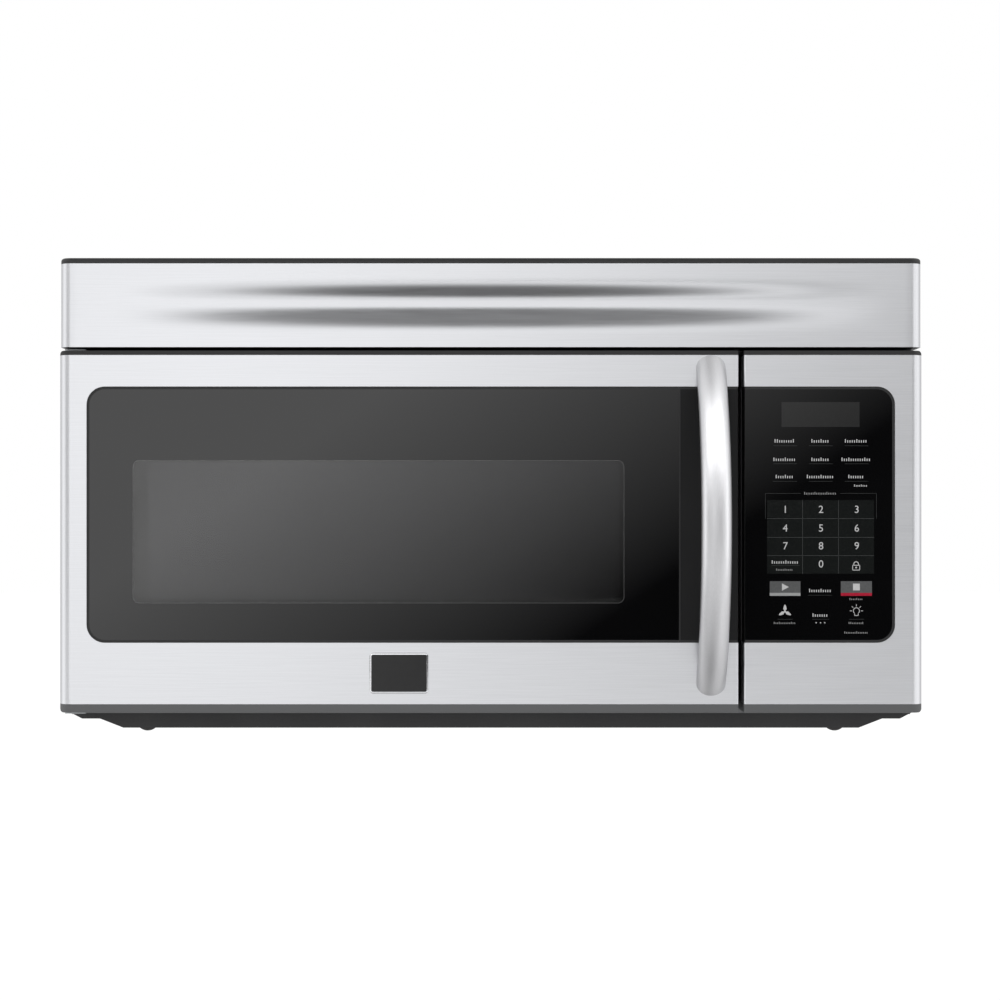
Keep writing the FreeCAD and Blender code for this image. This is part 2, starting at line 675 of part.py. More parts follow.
def adapter_floor_y():
    """The inside of the collar's front and rear walls."""
    return -DUCT_BACK - DUCT_DEPTH + SHEET, -DUCT_BACK - SHEET


def damper_axis():
    """The damper's pivot, just inside the collar's front wall."""
    return adapter_floor_y()[0] + DAMPER_PIN_R + 2 * TOUCH, HEIGHT + SHEET + DAMPER_HEIGHT


def exhaust_adapter():
    """The flange and collar that the house's duct slips over: four bent strips, spot-welded."""
    flange = duct_opening(DUCT_LAP, HEIGHT, HEIGHT + SHEET)
    collar = duct_opening(0, HEIGHT, HEIGHT + SHEET + COLLAR_HEIGHT)
    adapter = flange.fuse(collar)
    adapter = adapter.cut(duct_opening(-SHEET, HEIGHT - SHEET, HEIGHT + 2 * SHEET + COLLAR_HEIGHT))
    y_axis, z_axis = damper_axis()
    half = DUCT_WIDTH / 2
    adapter = adapter.cut(rod(
        -half - SHEET, y_axis, z_axis, AXIS_X, DUCT_WIDTH + 2 * SHEET, DAMPER_PIN_R + DAMPER_FIT,
    ))
    for x, y in duct_screw_places():
        adapter = adapter.cut(screw_hole(x, y, HEIGHT + SHEET, AXIS_Z))
    adapter = adapter.removeSplitter()
    y_front, y_rear = adapter_floor_y()
    side = half + DUCT_LAP
    top = HEIGHT + SHEET + COLLAR_HEIGHT
    strips = []
    for y0, y1 in ((y_front - side, y_front), (y_front, y_rear), (y_rear, y_rear + side)):
        strips += adapter.common(block(-side, side, y0, y1, HEIGHT, top)).Solids
    return strips


def damper_stop():
    """The strip spot-welded inside the collar's rear strip, which the closed damper lies over."""
    y_rear = adapter_floor_y()[1]
    half = DUCT_WIDTH / 2 - SHEET
    top = damper_axis()[1] - SHEET / 2 - TOUCH
    return block(-half, half, y_rear - DAMPER_STOP, y_rear, top - SHEET, top)


def damper_flap():
    """The flap that keeps outside air out of the hood: it lies shut and the blower lifts it."""
    y_axis, z_axis = damper_axis()
    y_rear = adapter_floor_y()[1]
    half = DUCT_WIDTH / 2 - SHEET - 2 * TOUCH
    plate = block(-half, half, y_axis, y_rear - 2 * TOUCH, z_axis - SHEET / 2, z_axis + SHEET / 2)
    pin = rod(-DUCT_WIDTH / 2, y_axis, z_axis, AXIS_X, DUCT_WIDTH, DAMPER_PIN_R)
    return plate.fuse(pin).removeSplitter()


def cord_bushing():
    """The bushing in the case's top that the mains cord leaves by."""
    z0 = HEIGHT - SHEET - BUSH_HEAD
    hole_r = CORD_BORE_R + BUSH_WALL
    body = rod(CORD_X, -CORD_Y, z0, AXIS_Z, 2 * BUSH_HEAD + SHEET, hole_r)
    for z in (z0, HEIGHT):
        body = body.fuse(rod(CORD_X, -CORD_Y, z, AXIS_Z, BUSH_HEAD, hole_r + BUSH_LAP))
    return body.cut(rod(CORD_X, -CORD_Y, z0, AXIS_Z, 2 * BUSH_HEAD + SHEET, CORD_BORE_R)).removeSplitter()


# ---- Front plate and hinges ---------------------------------------------------------------------


def hinge_x():
    return LEFT + HINGE_IN


def hinge_y():
    return FRONT + HINGE_BACK


def hinge_ears():
    """The two ears' lower faces, one over the door and one under it."""
    return DOOR_TOP + TOUCH, DOOR_LOW - TOUCH - HINGE_SHEET


def hinge(ear_z, foot_way, pin_way):
    """A bracket whose ear reaches out over or under the door, with the pin the door turns on."""
    x0, x1 = hinge_x() - HINGE_WIDTH / 2, hinge_x() + HINGE_WIDTH / 2
    ear = block(x0, x1, hinge_y() - 2 * HINGE_PIN_R, CASE_FRONT + HINGE_SHEET, ear_z, ear_z + HINGE_SHEET)
    foot_low, foot_high = sorted((ear_z + HINGE_SHEET / 2, ear_z + HINGE_SHEET / 2 + foot_way * HINGE_FOOT))
    foot = block(x0, x1, CASE_FRONT, CASE_FRONT + HINGE_SHEET, foot_low, foot_high)
    pin_z = ear_z + HINGE_SHEET / 2
    pin = rod(
        hinge_x(), hinge_y(), pin_z, AXIS_Z * pin_way, HINGE_PIN_LONG + TOUCH + HINGE_SHEET / 2,
        HINGE_PIN_R,
    )
    solid = ear.fuse(foot).fuse(pin)
    for x, z in hinge_screw_places(ear_z, foot_way):
        solid = solid.cut(screw_hole(x, FACE, z, -AXIS_Y))
    return solid.removeSplitter()


def hinge_screw_places(ear_z, foot_way):
    middle = ear_z + HINGE_SHEET / 2
    return [(hinge_x(), middle + foot_way * share * HINGE_FOOT) for share in HINGE_SCREW_SHARES]


def hinge_pair():
    top, low = hinge_ears()
    return [(top, 1, -1), (low, 1, 1)]


def hinge_slot(ear_z):
    """The slot in the front plate that a hinge's ear comes out of."""
    x0, x1 = hinge_x() - HINGE_WIDTH / 2 - TOUCH, hinge_x() + HINGE_WIDTH / 2 + TOUCH
    return block(x0, x1, FACE - SHEET, CASE_FRONT + SHEET, ear_z - TOUCH, ear_z + HINGE_SHEET + TOUCH)


def arm_slot(z, y0, y1):
    """The slot that a latch arm passes, with room for its lift and for the swing of the door."""
    half = HOOK_THICK / 2 + SLOT_ROOM
    low = z - HOOK_ARM / 2 - HOOK_BARB - SLOT_ROOM
    high = z + HOOK_ARM / 2 + HOOK_TRAVEL + SLOT_ROOM
    return block(LATCH_X - half, LATCH_X + half + SLOT_ROOM, y0, y1, low, high)


def front_plate():
    """The steel plate that the oven, the hinges, the latch and both front panels are fixed to."""
    plate = block(-CASE_X, CASE_X, FACE, CASE_FRONT, CASE_LOW, HEIGHT)
    y0, y1 = FACE - SHEET, CASE_FRONT + SHEET
    plate = plate.cut(block(CAVITY_X0, CAVITY_X1, y0, y1, CAVITY_LOW, CAVITY_TOP))
    x, z0, z1 = charcoal_box(-FILTER_LAP)
    plate = plate.cut(block(-x, x, y0, y1, z0, z1))
    wire_x = (PANEL_LEFT + RIGHT) / 2
    plate = plate.cut(rod(wire_x, y0, LATCH_Z, AXIS_Y, y1 - y0, WIRE_HOLE_R))
    for z in (ARM_LOW_Z, ARM_HIGH_Z):
        plate = plate.cut(arm_slot(z, y0, y1))
    for ear_z, foot_way, _ in hinge_pair():
        plate = plate.cut(hinge_slot(ear_z))
        for x, z in hinge_screw_places(ear_z, foot_way):
            plate = plate.cut(screw_hole(x, FACE, z, -AXIS_Y))
    return plate.removeSplitter()


def charcoal_box(grow=0.0):
    """Half length, underside and top of the charcoal filter, or of the opening behind it."""
    middle = (VENT_LOW + VENT_TOP) / 2
    return CHARCOAL_LONG / 2 + grow, middle - CHARCOAL_TALL / 2 - grow, middle + CHARCOAL_TALL / 2 + grow


def charcoal_filter():
    """A cardboard frame with channels of charcoal across it."""
    x, z0, z1 = charcoal_box()
    body = block(-x, x, FACE - CHARCOAL_THICK, FACE, z0, z1)
    pitch = (CHARCOAL_LONG - 2 * FILTER_LAP) / CHARCOAL_CELLS
    for i in range(CHARCOAL_CELLS):
        x0 = -x + FILTER_LAP + i * pitch + CHARCOAL_WALL / 2
        front, rear = FACE - 2 * CHARCOAL_THICK, FACE + CHARCOAL_THICK
        x1 = x0 + pitch - CHARCOAL_WALL
        body = body.cut(block(x0, x1, front, rear, z0 + FILTER_LAP, z1 - FILTER_LAP))
    return body


# ---- Panels of the front: a moulding, a steel skin over it and black glass let into both ---------


def wrap_skin(x0, x1, z0, z1, left, right):
    """A steel skin over a moulding's front, turned back round its two upright edges."""
    outer = front_block(x0, x1, FRONT, FRONT + SKIN_RETURN, z0, z1, left, right)
    deep = FRONT + 2 * SKIN_RETURN
    inner = front_block(x0 + SKIN, x1 - SKIN, FRONT + SKIN, deep, z0, z1, left - SKIN, right - SKIN)
    return outer.cut(inner)


def glass_opening(left_side):
    """The opening in a panel's steel for its black glass, which runs out at the upright gap."""
    y0, y1 = FRONT - SKIN, FRONT + SKIN_RETURN + SKIN
    if left_side:
        return upright_plate(
            LEFT + BAND_SIDE, DOOR_RIGHT + SKIN, GLASS_LOW, GLASS_TOP, y0, y1, left=GLASS_ROUND,
        )
    return upright_plate(
        PANEL_LEFT - SKIN, RIGHT - BAND_SIDE, GLASS_LOW, GLASS_TOP, y0, y1, right=GLASS_ROUND,
    )


def panel_moulding(x0, x1, left, right, left_side, back):
    """The tub behind a panel's steel: a thick front wall, thinner walls round it and an open back."""
    tub = front_block(x0, x1, FRONT, back, DOOR_LOW, DOOR_TOP, left, right)
    tub = round_lips(tub, x0 if left_side else x1)
    inner = MOULDING + SKIN
    tub = tub.cut(block(
        x0 + inner, x1 - inner, FRONT + FRONT_WALL, back, DOOR_LOW + MOULDING, DOOR_TOP - MOULDING,
    ))
    tub = tub.cut(wrap_skin(x0, x1, STEEL_LOW, STEEL_TOP, left, right))
    opening = glass_opening(left_side)
    front_layer = block(x0 - SKIN, x1 + SKIN, FRONT - SKIN, FRONT + GLASS_SUNK, DOOR_LOW, DOOR_TOP)
    return tub.cut(opening.common(front_layer))


def round_lips(tub, x):
    """Rounds the corners of the dark lips that show above and below the steel."""
    reach = LIP_ROUND
    way = 1 if x < 0 else -1
    for z, up in ((DOOR_LOW, 1), (DOOR_TOP, -1)):
        x_in, z_in = x + way * reach, z + up * reach
        low, high = sorted((z, z_in))
        west, east = sorted((x, x_in))
        corner = block(west, east, FRONT - 1, FRONT + 2 * DOOR_THICKNESS, low, high)
        corner = corner.cut(rod(x_in, FRONT - 1, z_in, AXIS_Y, 3 * DOOR_THICKNESS, reach))
        tub = tub.cut(corner)
    return tub


def door_glass():
    x0, x1 = LEFT + BAND_SIDE + GLASS_RIM, TRIM_LEFT - TRIM_LINE
    z0, z1 = GLASS_LOW + GLASS_RIM, GLASS_TOP - GLASS_RIM
    y0 = FRONT + GLASS_SUNK
    return upright_plate(x0, x1, z0, z1, y0, y0 + GLASS_SHEET, left=GLASS_ROUND - GLASS_RIM)


def handle_trim():
    y0 = FRONT + GLASS_SUNK
    z0, z1 = GLASS_LOW + GLASS_RIM, GLASS_TOP - GLASS_RIM
    return block(TRIM_LEFT, DOOR_RIGHT - GLASS_EDGE, y0, y0 + TRIM_SHEET, z0, z1)


def control_glass():
    x0, x1 = PANEL_LEFT + GLASS_EDGE, RIGHT - BAND_SIDE - GLASS_RIM
    z0, z1 = GLASS_LOW + GLASS_RIM, GLASS_TOP - GLASS_RIM
    y0 = FRONT + GLASS_SUNK
    return upright_plate(x0, x1, z0, z1, y0, y0 + GLASS_SHEET, right=GLASS_ROUND - GLASS_RIM)


# ---- Door ---------------------------------------------------------------------------------------


def window_cut(grow, y0, y1):
    x0, x1 = LEFT + WINDOW_X, DOOR_RIGHT - WINDOW_RIGHT
    z0, z1 = DOOR_LOW + WINDOW_Z, DOOR_TOP - WINDOW_DOWN
    return block(x0 - grow, x1 + grow, y0, y1, z0 - grow, z1 + grow)


def swing_chamfer(shape):
    """Takes off the door's back left edge, which would strike the front plate as the door swings."""
    x, y, over = LEFT, DOOR_BACK, HINGE_CHAMFER
    corners = [(x - over, y + over), (x - over, y - 2 * over), (x + 2 * over, y + over)]
    points = [Vector(cx, cy, DOOR_LOW - over) for cx, cy in corners]
    wedge = Part.Face(Part.makePolygon(points + points[:1])).extrude(AXIS_Z * (DOOR_HEIGHT + 2 * over))
    return shape.cut(wedge)


def pin_hole(z, way):
    """The hole in the door for a hinge pin, with its running clearance."""
    deep = HINGE_PIN_LONG + 2 * TOUCH
    return rod(hinge_x(), hinge_y(), z, AXIS_Z * way, deep, HINGE_PIN_R + HINGE_FIT)


def panel_back():
    """Where the door's moulding ends and its inner panel begins."""
    return DOOR_BACK - CHOKE_COVER - CHOKE_SHEET


def handle_screw_places():
    return [HANDLE_Z + way * (HANDLE_LONG / 2 - HANDLE_SCREW_IN) for way in (-1, 1)]


def handle_screw_hole(z):
    long = HANDLE_SCREW_BITE + FRONT_WALL
    return rod(HANDLE_X, FRONT - HANDLE_SCREW_BITE, z, AXIS_Y, long, HANDLE_SCREW_R)


def door_frame():
    tub = panel_moulding(LEFT, DOOR_RIGHT, CORNER_ROUND, INNER_ROUND, True, panel_back())
    boss_r = HINGE_PIN_R + MOULDING + 1
    for z, way in ((DOOR_TOP, -1), (DOOR_LOW, 1)):
        boss = rod(
            hinge_x(), hinge_y(), z + way * MOULDING / 2, AXIS_Z * way, HINGE_PIN_LONG + MOULDING, boss_r,
        )
        web = block(LEFT + MOULDING, hinge_x(), hinge_y() - boss_r, hinge_y() + boss_r,
                    *sorted((z + way * MOULDING / 2, z + way * (HINGE_PIN_LONG + MOULDING * 1.5))))
        tub = tub.fuse(boss).fuse(web)
    bar_front = LATCH_BAR_BACK - HOOK_BAR
    for z in (ARM_LOW_Z + HOOK_ARM, ARM_HIGH_Z - HOOK_ARM):
        half = HOOK_BAR
        tub = tub.fuse(block(
            LATCH_X - half, LATCH_X + half, FRONT + FRONT_WALL - 1, bar_front - TOUCH, z - half, z + half,
        ))
        for side in (-1, 1):
            x0, x1 = sorted((
                LATCH_X + side * (HOOK_BAR / 2 + TOUCH),
                LATCH_X + side * (HOOK_BAR / 2 + TOUCH + MOULDING),
            ))
            tub = tub.fuse(block(x0, x1, bar_front - TOUCH - 1, LATCH_BAR_BACK, z - half, z + half))
    seat_z = LATCH_Z + HOOK_TALL / 2 + LATCH_SPRING_LONG
    half = LATCH_SPRING_R + MOULDING
    tub = tub.fuse(block(
        LATCH_X - half, LATCH_X + half, FRONT + FRONT_WALL - 1, LATCH_BAR_BACK, seat_z, seat_z + MOULDING,
    ))
    tub = swing_chamfer(tub)
    for z, way in ((DOOR_TOP, -1), (DOOR_LOW, 1)):
        tub = tub.cut(pin_hole(z, way))
    for z in handle_screw_places():
        tub = tub.cut(handle_screw_hole(z))
    tub = tub.cut(window_cut(WINDOW_LAP, FRONT, FRONT + 2 * FRONT_WALL))
    return tub.cut(door_glass()).cut(handle_trim()).removeSplitter()


def door_skin():
    skin = wrap_skin(LEFT, DOOR_RIGHT, STEEL_LOW, STEEL_TOP, CORNER_ROUND, INNER_ROUND)
    skin = skin.cut(glass_opening(True))
    for z in handle_screw_places():
        skin = skin.cut(handle_screw_hole(z))
    return skin


def choke_outline(inset, y0, y1):
    """A plate over the door's back, short of its edges."""
    return block(LEFT + inset, DOOR_RIGHT - inset, y0, y1, DOOR_LOW + inset, DOOR_TOP - inset)


def door_inner_panel():
    """The steel panel that keeps the microwaves in, with a choke wall standing round its window."""
    y0 = panel_back()
    panel = choke_outline(SHEET, y0, y0 + CHOKE_SHEET)
    wall = window_cut(CHOKE_OUT, y0 - CHOKE_WALL, y0).cut(window_cut(
        CHOKE_OUT - CHOKE_SHEET, y0 - CHOKE_WALL, y0,
    ))
    panel = panel.fuse(wall)
    for z in (ARM_LOW_Z, ARM_HIGH_Z):
        panel = panel.cut(arm_slot(z, y0 - SHEET, DOOR_BACK))
    return swing_chamfer(panel).removeSplitter()


def choke_cover():
    """The plastic cover over the inner panel, open round the window."""
    cover = choke_outline(2 * SHEET, DOOR_BACK - CHOKE_COVER, DOOR_BACK)
    cover = cover.cut(window_cut(SCREEN_LAP, DOOR_BACK - 2 * CHOKE_COVER, DOOR_BACK + CHOKE_COVER))
    for z in (ARM_LOW_Z, ARM_HIGH_Z):
        cover = cover.cut(arm_slot(z, DOOR_BACK - 2 * CHOKE_COVER, DOOR_BACK + CHOKE_COVER))
    return swing_chamfer(cover)


def door_screen():
    """The clear film over the inner side of the dotted window."""
    y0 = DOOR_BACK - CHOKE_COVER
    return window_cut(SCREEN_LAP, y0, y0 + SCREEN_SHEET)


def handle():
    """A flat oval bar on one arc, cut off flat by the door's steel at both ends."""
    half_long, half_thick = HANDLE_LONG / 2, HANDLE_THICK / 2
    top = HANDLE_RISE + half_thick
    centre = (half_long ** 2 - top ** 2) / (2 * top)  # the arc's centre, behind the steel front
    radius = centre + HANDLE_RISE
    axis_y = FRONT + centre
    oval = Part.Ellipse(Vector(HANDLE_X, axis_y - radius, HANDLE_Z), HANDLE_WIDE / 2, half_thick)
    section = Part.Face(Part.Wire(oval.toShape()))
    axis_point = Vector(HANDLE_X, axis_y, HANDLE_Z)
    section.rotate(axis_point, AXIS_X, -HANDLE_SWEEP)
    bar = section.revolve(axis_point, AXIS_X, 2 * HANDLE_SWEEP)
    reach = HANDLE_LONG
    bar = bar.common(block(
        HANDLE_X - reach, HANDLE_X + reach, FRONT - reach, FRONT, HANDLE_Z - reach, HANDLE_Z + reach,
    ))
    for z in handle_screw_places():
        bar = bar.cut(handle_screw_hole(z))
    return bar


def handle_screws():
    """The screws that hold the handle from inside the door."""
    solids = []
    for z in handle_screw_places():
        shank = handle_screw_hole(z)
        head = rod(HANDLE_X, FRONT + FRONT_WALL, z, AXIS_Y, SCREW_HEAD, 2 * HANDLE_SCREW_R)
        solids.append(shank.fuse(head).removeSplitter())
    return solids


def badge():
    x, z = LEFT + BADGE_X, DOOR_LOW + BADGE_Z
    half_long, half_tall = BADGE_LONG / 2, BADGE_TALL / 2
    return upright_plate(x - half_long, x + half_long, z - half_tall, z + half_tall,
                         FRONT - BADGE_THICK, FRONT, left=BADGE_ROUND, right=BADGE_ROUND)


def latch_bar():
    """The sliding bar inside the door with the two hooks that enter the front plate."""
    half = HOOK_BAR / 2
    bar = block(LATCH_X - half, LATCH_X + half, LATCH_BAR_BACK - HOOK_BAR, LATCH_BAR_BACK,
                LATCH_Z - HOOK_TALL / 2, LATCH_Z + HOOK_TALL / 2)
    half = HOOK_THICK / 2
    tip = DOOR_BACK + HOOK_REACH
    nose = 2 * HOOK_BARB
    for z in (ARM_LOW_Z, ARM_HIGH_Z):
        low, high = z - HOOK_ARM / 2, z + HOOK_ARM / 2
        outline = [(LATCH_BAR_BACK - SHEET, low), (tip - nose, low), (tip - nose, low - HOOK_BARB),
                   (tip, low), (tip, high), (LATCH_BAR_BACK - SHEET, high)]
        bar = bar.fuse(prism_x(outline, LATCH_X - half, LATCH_X + half))
    return bar.removeSplitter()


def latch_spring():
    """The coil spring that holds the latch bar down."""
    z0 = LATCH_Z + HOOK_TALL / 2 + LATCH_SPRING_WIRE
    rise = LATCH_SPRING_LONG - 2 * LATCH_SPRING_WIRE
    y = LATCH_BAR_BACK - HOOK_BAR / 2
    pitch = rise / LATCH_SPRING_TURNS
    centre_r = LATCH_SPRING_R - LATCH_SPRING_WIRE / 2
    path = Part.makeLongHelix(pitch, rise, centre_r)
    start = path.Edges[0].valueAt(path.Edges[0].FirstParameter)
    way = path.Edges[0].tangentAt(path.Edges[0].FirstParameter)
    ring = Part.Wire(Part.Circle(start, way, LATCH_SPRING_WIRE / 2).toShape())
    coil = Part.Wire(path.Edges).makePipeShell([ring], True, True)
    coil.translate(Vector(LATCH_X, y, z0))
    return coil


# ---- Vent panel ---------------------------------------------------------------------------------


def valley_edges():
    """The valley's lower and upper edge and the middle of its floor."""
    middle = VENT_STEEL_TOP - VALLEY_FROM_TOP
    return middle - VALLEY_FLOOR / 2 - VALLEY_DOWN, middle + VALLEY_FLOOR / 2 + VALLEY_UP, middle


def valley_depth(x, z):
    """How far the long valley in the vent panel's steel lies back at a point."""
    up = z - valley_edges()[2]
    flank = max(abs(up) - VALLEY_FLOOR / 2, 0) / (VALLEY_UP if up > 0 else VALLEY_DOWN)
    across = max(1 - flank**2, 0) ** VALLEY_HOLLOW
    along = max(1 - (x / VENT_X / VALLEY_END) ** 2, 0) ** VALLEY_FADE
    return VALLEY_DEEP * across * along


def vent_skin():
    """The steel over the vent panel, with the valley pressed into it."""
    skin = wrap_skin(-VENT_X, VENT_X, VENT_LOW, VENT_STEEL_TOP, CORNER_ROUND, CORNER_ROUND)
    z0, z1 = valley_edges()[:2]
    x1 = VENT_X * VALLEY_END
    skin = skin.cut(block(-x1, x1, FRONT - SKIN, FRONT + 2 * SKIN, z0, z1))
    grid = []
    for i in range(VALLEY_SECTIONS):
        x = -x1 + 2 * x1 * i / (VALLEY_SECTIONS - 1)
        heights = [z0 + (z1 - z0) * j / (VALLEY_POINTS - 1) for j in range(VALLEY_POINTS)]
        grid.append([Vector(x, FRONT + valley_depth(x, z), z) for z in heights])
    surface = Part.BSplineSurface()
    surface.interpolate(grid)
    patch = surface.toShape().extrude(AXIS_Y * SKIN)
    return skin.fuse(patch).removeSplitter()


def vent_grille():
    """The black moulding behind the vent panel's steel, with louvres along its top."""
    shell = front_block(-VENT_X, VENT_X, FRONT, FACE, VENT_LOW, VENT_TOP, CORNER_ROUND, CORNER_ROUND)
    shell = shell.makeFillet(VENT_TOP_ROUND, [e for e in shell.Edges if top_end_edge(e)])
    wall = MOULDING + SKIN
    hollow = block(
        -VENT_X + wall, VENT_X - wall, FRONT + wall, FACE, VENT_LOW + MOULDING, VENT_TOP - MOULDING,
    )
    shell = shell.cut(hollow)
    shell = shell.cut(wrap_skin(-VENT_X, VENT_X, VENT_LOW, VENT_STEEL_TOP, CORNER_ROUND, CORNER_ROUND))
    z0, z1 = valley_edges()[:2]
    x1 = VENT_X * VALLEY_END
    shell = shell.cut(block(-x1, x1, FRONT - SKIN, FRONT + 2 * wall, z0, z1))
    pitch = 2 * (VENT_X - LOUVRE_END) / LOUVRES
    y0 = (FRONT + FACE) / 2 - LOUVRE_LONG / 2
    for i in range(LOUVRES):
        x = -VENT_X + LOUVRE_END + (i + 0.5) * pitch
        cut = block(
            x - LOUVRE_WIDE / 2, x + LOUVRE_WIDE / 2, y0, y0 + LOUVRE_LONG, VENT_TOP - 2 * MOULDING,
            VENT_TOP + 1,
        )
        shell = shell.cut(cut)
    return shell.removeSplitter()


def top_end_edge(edge):
    """True for the edge between the vent panel's top and one of its ends."""
    middle = edge.CenterOfMass
    along_y = abs(edge.tangentAt(edge.FirstParameter).dot(AXIS_Y)) > 0.999
    return along_y and abs(middle.z - VENT_TOP) < 1e-6 and abs(abs(middle.x) - VENT_X) < 1e-6


# ---- Control panel --------------------------------------------------------------------------------


def board_edges():
    """Left, right, low and high edges of the circuit board."""
    return PANEL_LEFT + BOARD_LEFT, RIGHT - BOARD_RIGHT, DOOR_LOW + BOARD_LOW, DOOR_TOP - BOARD_HIGH


def display_cut(grow, y0, y1):
    x0, x1 = PANEL_LEFT + DISPLAY_LEFT, RIGHT - DISPLAY_IN
    z1 = GLASS_TOP - DISPLAY_DOWN
    return block(x0 - grow, x1 + grow, y0, y1, z1 - DISPLAY_TALL - grow, z1 + grow)


def control_frame():
    tub = panel_moulding(PANEL_LEFT, RIGHT, INNER_ROUND, CORNER_ROUND, False, FACE)
    front_wall = FRONT + FRONT_WALL
    x0, x1, z0, z1 = board_edges()
    for x in (x0 + BOARD_POST, x1 - BOARD_POST):
        for z in (z0 + BOARD_POST, z1 - BOARD_POST):
            tub = tub.fuse(rod(x, front_wall - 1, z, AXIS_Y, BOARD_POST + 1, BOARD_POST / 2))
    tub = tub.cut(display_cut(TOUCH, FRONT, front_wall + SHEET))
    return tub.cut(control_glass()).removeSplitter()


def control_skin():
    skin = wrap_skin(PANEL_LEFT, RIGHT, STEEL_LOW, STEEL_TOP, INNER_ROUND, CORNER_ROUND)
    return skin.cut(glass_opening(False))


def control_board():
    """The circuit board with its display, on the moulding's posts."""
    y0 = FRONT + FRONT_WALL + BOARD_POST
    x0, x1, z0, z1 = board_edges()
    y1 = y0 + BOARD_SHEET
    board = block(x0, x1, y0, y1, z0, z1)
    board = board.fuse(display_cut(0, FRONT + GLASS_SUNK + GLASS_SHEET + TOUCH, y0))
    tallest = CASE_FRONT - SHEET - y1 - 2 * TOUCH
    for across, up, long, tall, deep in BOARD_CHIPS:
        x, z = x0 + across * (x1 - x0), z0 + up * (z1 - z0)
        board = board.fuse(block(
            x - long / 2, x + long / 2, y1, y1 + min(deep, tallest), z - tall / 2, z + tall / 2,
        ))
    return board.removeSplitter()


# ---- Interlock ------------------------------------------------------------------------------------


def switch_front():
    """The switches' front faces, whose plungers stand just behind the hooks."""
    return DOOR_BACK + HOOK_REACH + TOUCH + SWITCH_BUTTON_OUT


def latch_bracket():
    """The bracket on the front plate that carries the two switches beside the hooks."""
    x0 = LATCH_X - SWITCH_THICK / 2 - MOULDING
    x1 = LATCH_X + SWITCH_THICK / 2 + 2 * MOULDING
    z0, z1 = ARM_LOW_Z - HOOK_ARM - 2 * MOULDING, ARM_HIGH_Z + HOOK_ARM + 2 * MOULDING
    foot = block(x0, x1, CASE_FRONT, CASE_FRONT + MOULDING, z0, z1)
    web = block(x0, x0 + MOULDING, CASE_FRONT, switch_front() + SWITCH_LONG, z0, z1)
    bracket = foot.fuse(web)
    for z in (ARM_LOW_Z, ARM_HIGH_Z):
        bracket = bracket.cut(arm_slot(z, CASE_FRONT - SHEET, CASE_FRONT + 2 * MOULDING))
        shelf_z = z - SWITCH_TALL / 2 - MOULDING
        shelf = block(x0, x1, switch_front(), switch_front() + SWITCH_LONG, shelf_z, shelf_z + MOULDING)
        bracket = bracket.fuse(shelf)
    return bracket.removeSplitter()


def microswitch(z):
    half = SWITCH_THICK / 2
    body = block(LATCH_X - half, LATCH_X + half, switch_front(), switch_front() + SWITCH_LONG,
                 z - SWITCH_TALL / 2, z + SWITCH_TALL / 2)
    return body.cut(rod(
        LATCH_X, switch_front(), z, AXIS_Y, 4 * SWITCH_BUTTON_OUT, SWITCH_BUTTON_R + BUTTON_FIT,
    ))


def switch_plunger(z):
    start = switch_front() - SWITCH_BUTTON_OUT
    return rod(LATCH_X, start, z, AXIS_Y, 3 * SWITCH_BUTTON_OUT, SWITCH_BUTTON_R)


# ---- Oven -----------------------------------------------------------------------------------------


def port_cut(grow, x0, x1):
    """The microwave port in the right wall, or a plate that laps it."""
    y, z = -PORT_Y, CAVITY_TOP - PORT_DOWN
    return block(
        x0, x1, y - PORT_WIDE / 2 - grow, y + PORT_WIDE / 2 + grow, z - PORT_TALL / 2 - grow,
        z + PORT_TALL / 2 + grow,
    )


def cavity_lamp_place():
    """The oven lamp, behind a patch of small holes in the right wall."""
    return CASE_FRONT + CAVITY_DEEP * LAMP_BACK, CAVITY_TOP - LAMP_DOWN


def cavity_wrap():
    """The oven's floor, sides and top: a steel sleeve welded to the front plate."""
    s = CAVITY_SHEET
    outer = block(CAVITY_X0 - s, CAVITY_X1 + s, CASE_FRONT, CAVITY_BACK, CAVITY_LOW - s, CAVITY_TOP + s)
    wrap = outer.cut(block(CAVITY_X0, CAVITY_X1, CASE_FRONT, CAVITY_BACK, CAVITY_LOW, CAVITY_TOP))
    wrap = wrap.cut(port_cut(0, CAVITY_X1 - s, CAVITY_X1 + 2 * s))
    wrap = wrap.cut(rod(CAVITY_MID_X, CAVITY_MID_Y, CAVITY_LOW - 2 * s, AXIS_Z, 3 * s, SHAFT_HOLE_R))
    y, z = cavity_lamp_place()
    middle = (LAMP_GRID - 1) / 2
    for i in range(LAMP_GRID):
        for j in range(LAMP_GRID):
            hole = rod(
                CAVITY_X1 - s, y + (i - middle) * LAMP_PITCH, z + (j - middle) * LAMP_PITCH, AXIS_X, 3 * s,
                LAMP_HOLE_R,
            )
            wrap = wrap.cut(hole)
    return wrap


def cavity_back():
    s = CAVITY_SHEET
    return block(CAVITY_X0 - s, CAVITY_X1 + s, CAVITY_BACK, CAVITY_BACK + s, CAVITY_LOW - s, CAVITY_TOP + s)


def waveguide_cover():
    """The mica sheet over the microwave port, inside the oven."""
    return port_cut(MICA_LAP, CAVITY_X1 - MICA_SHEET, CAVITY_X1)


def guide_top():
    return CAVITY_TOP - PORT_DOWN + PORT_TALL / 2 + MICA_LAP


def magnetron_z():
    return guide_top() - GUIDE_TALL + MAGNETRON_HIGH / 2


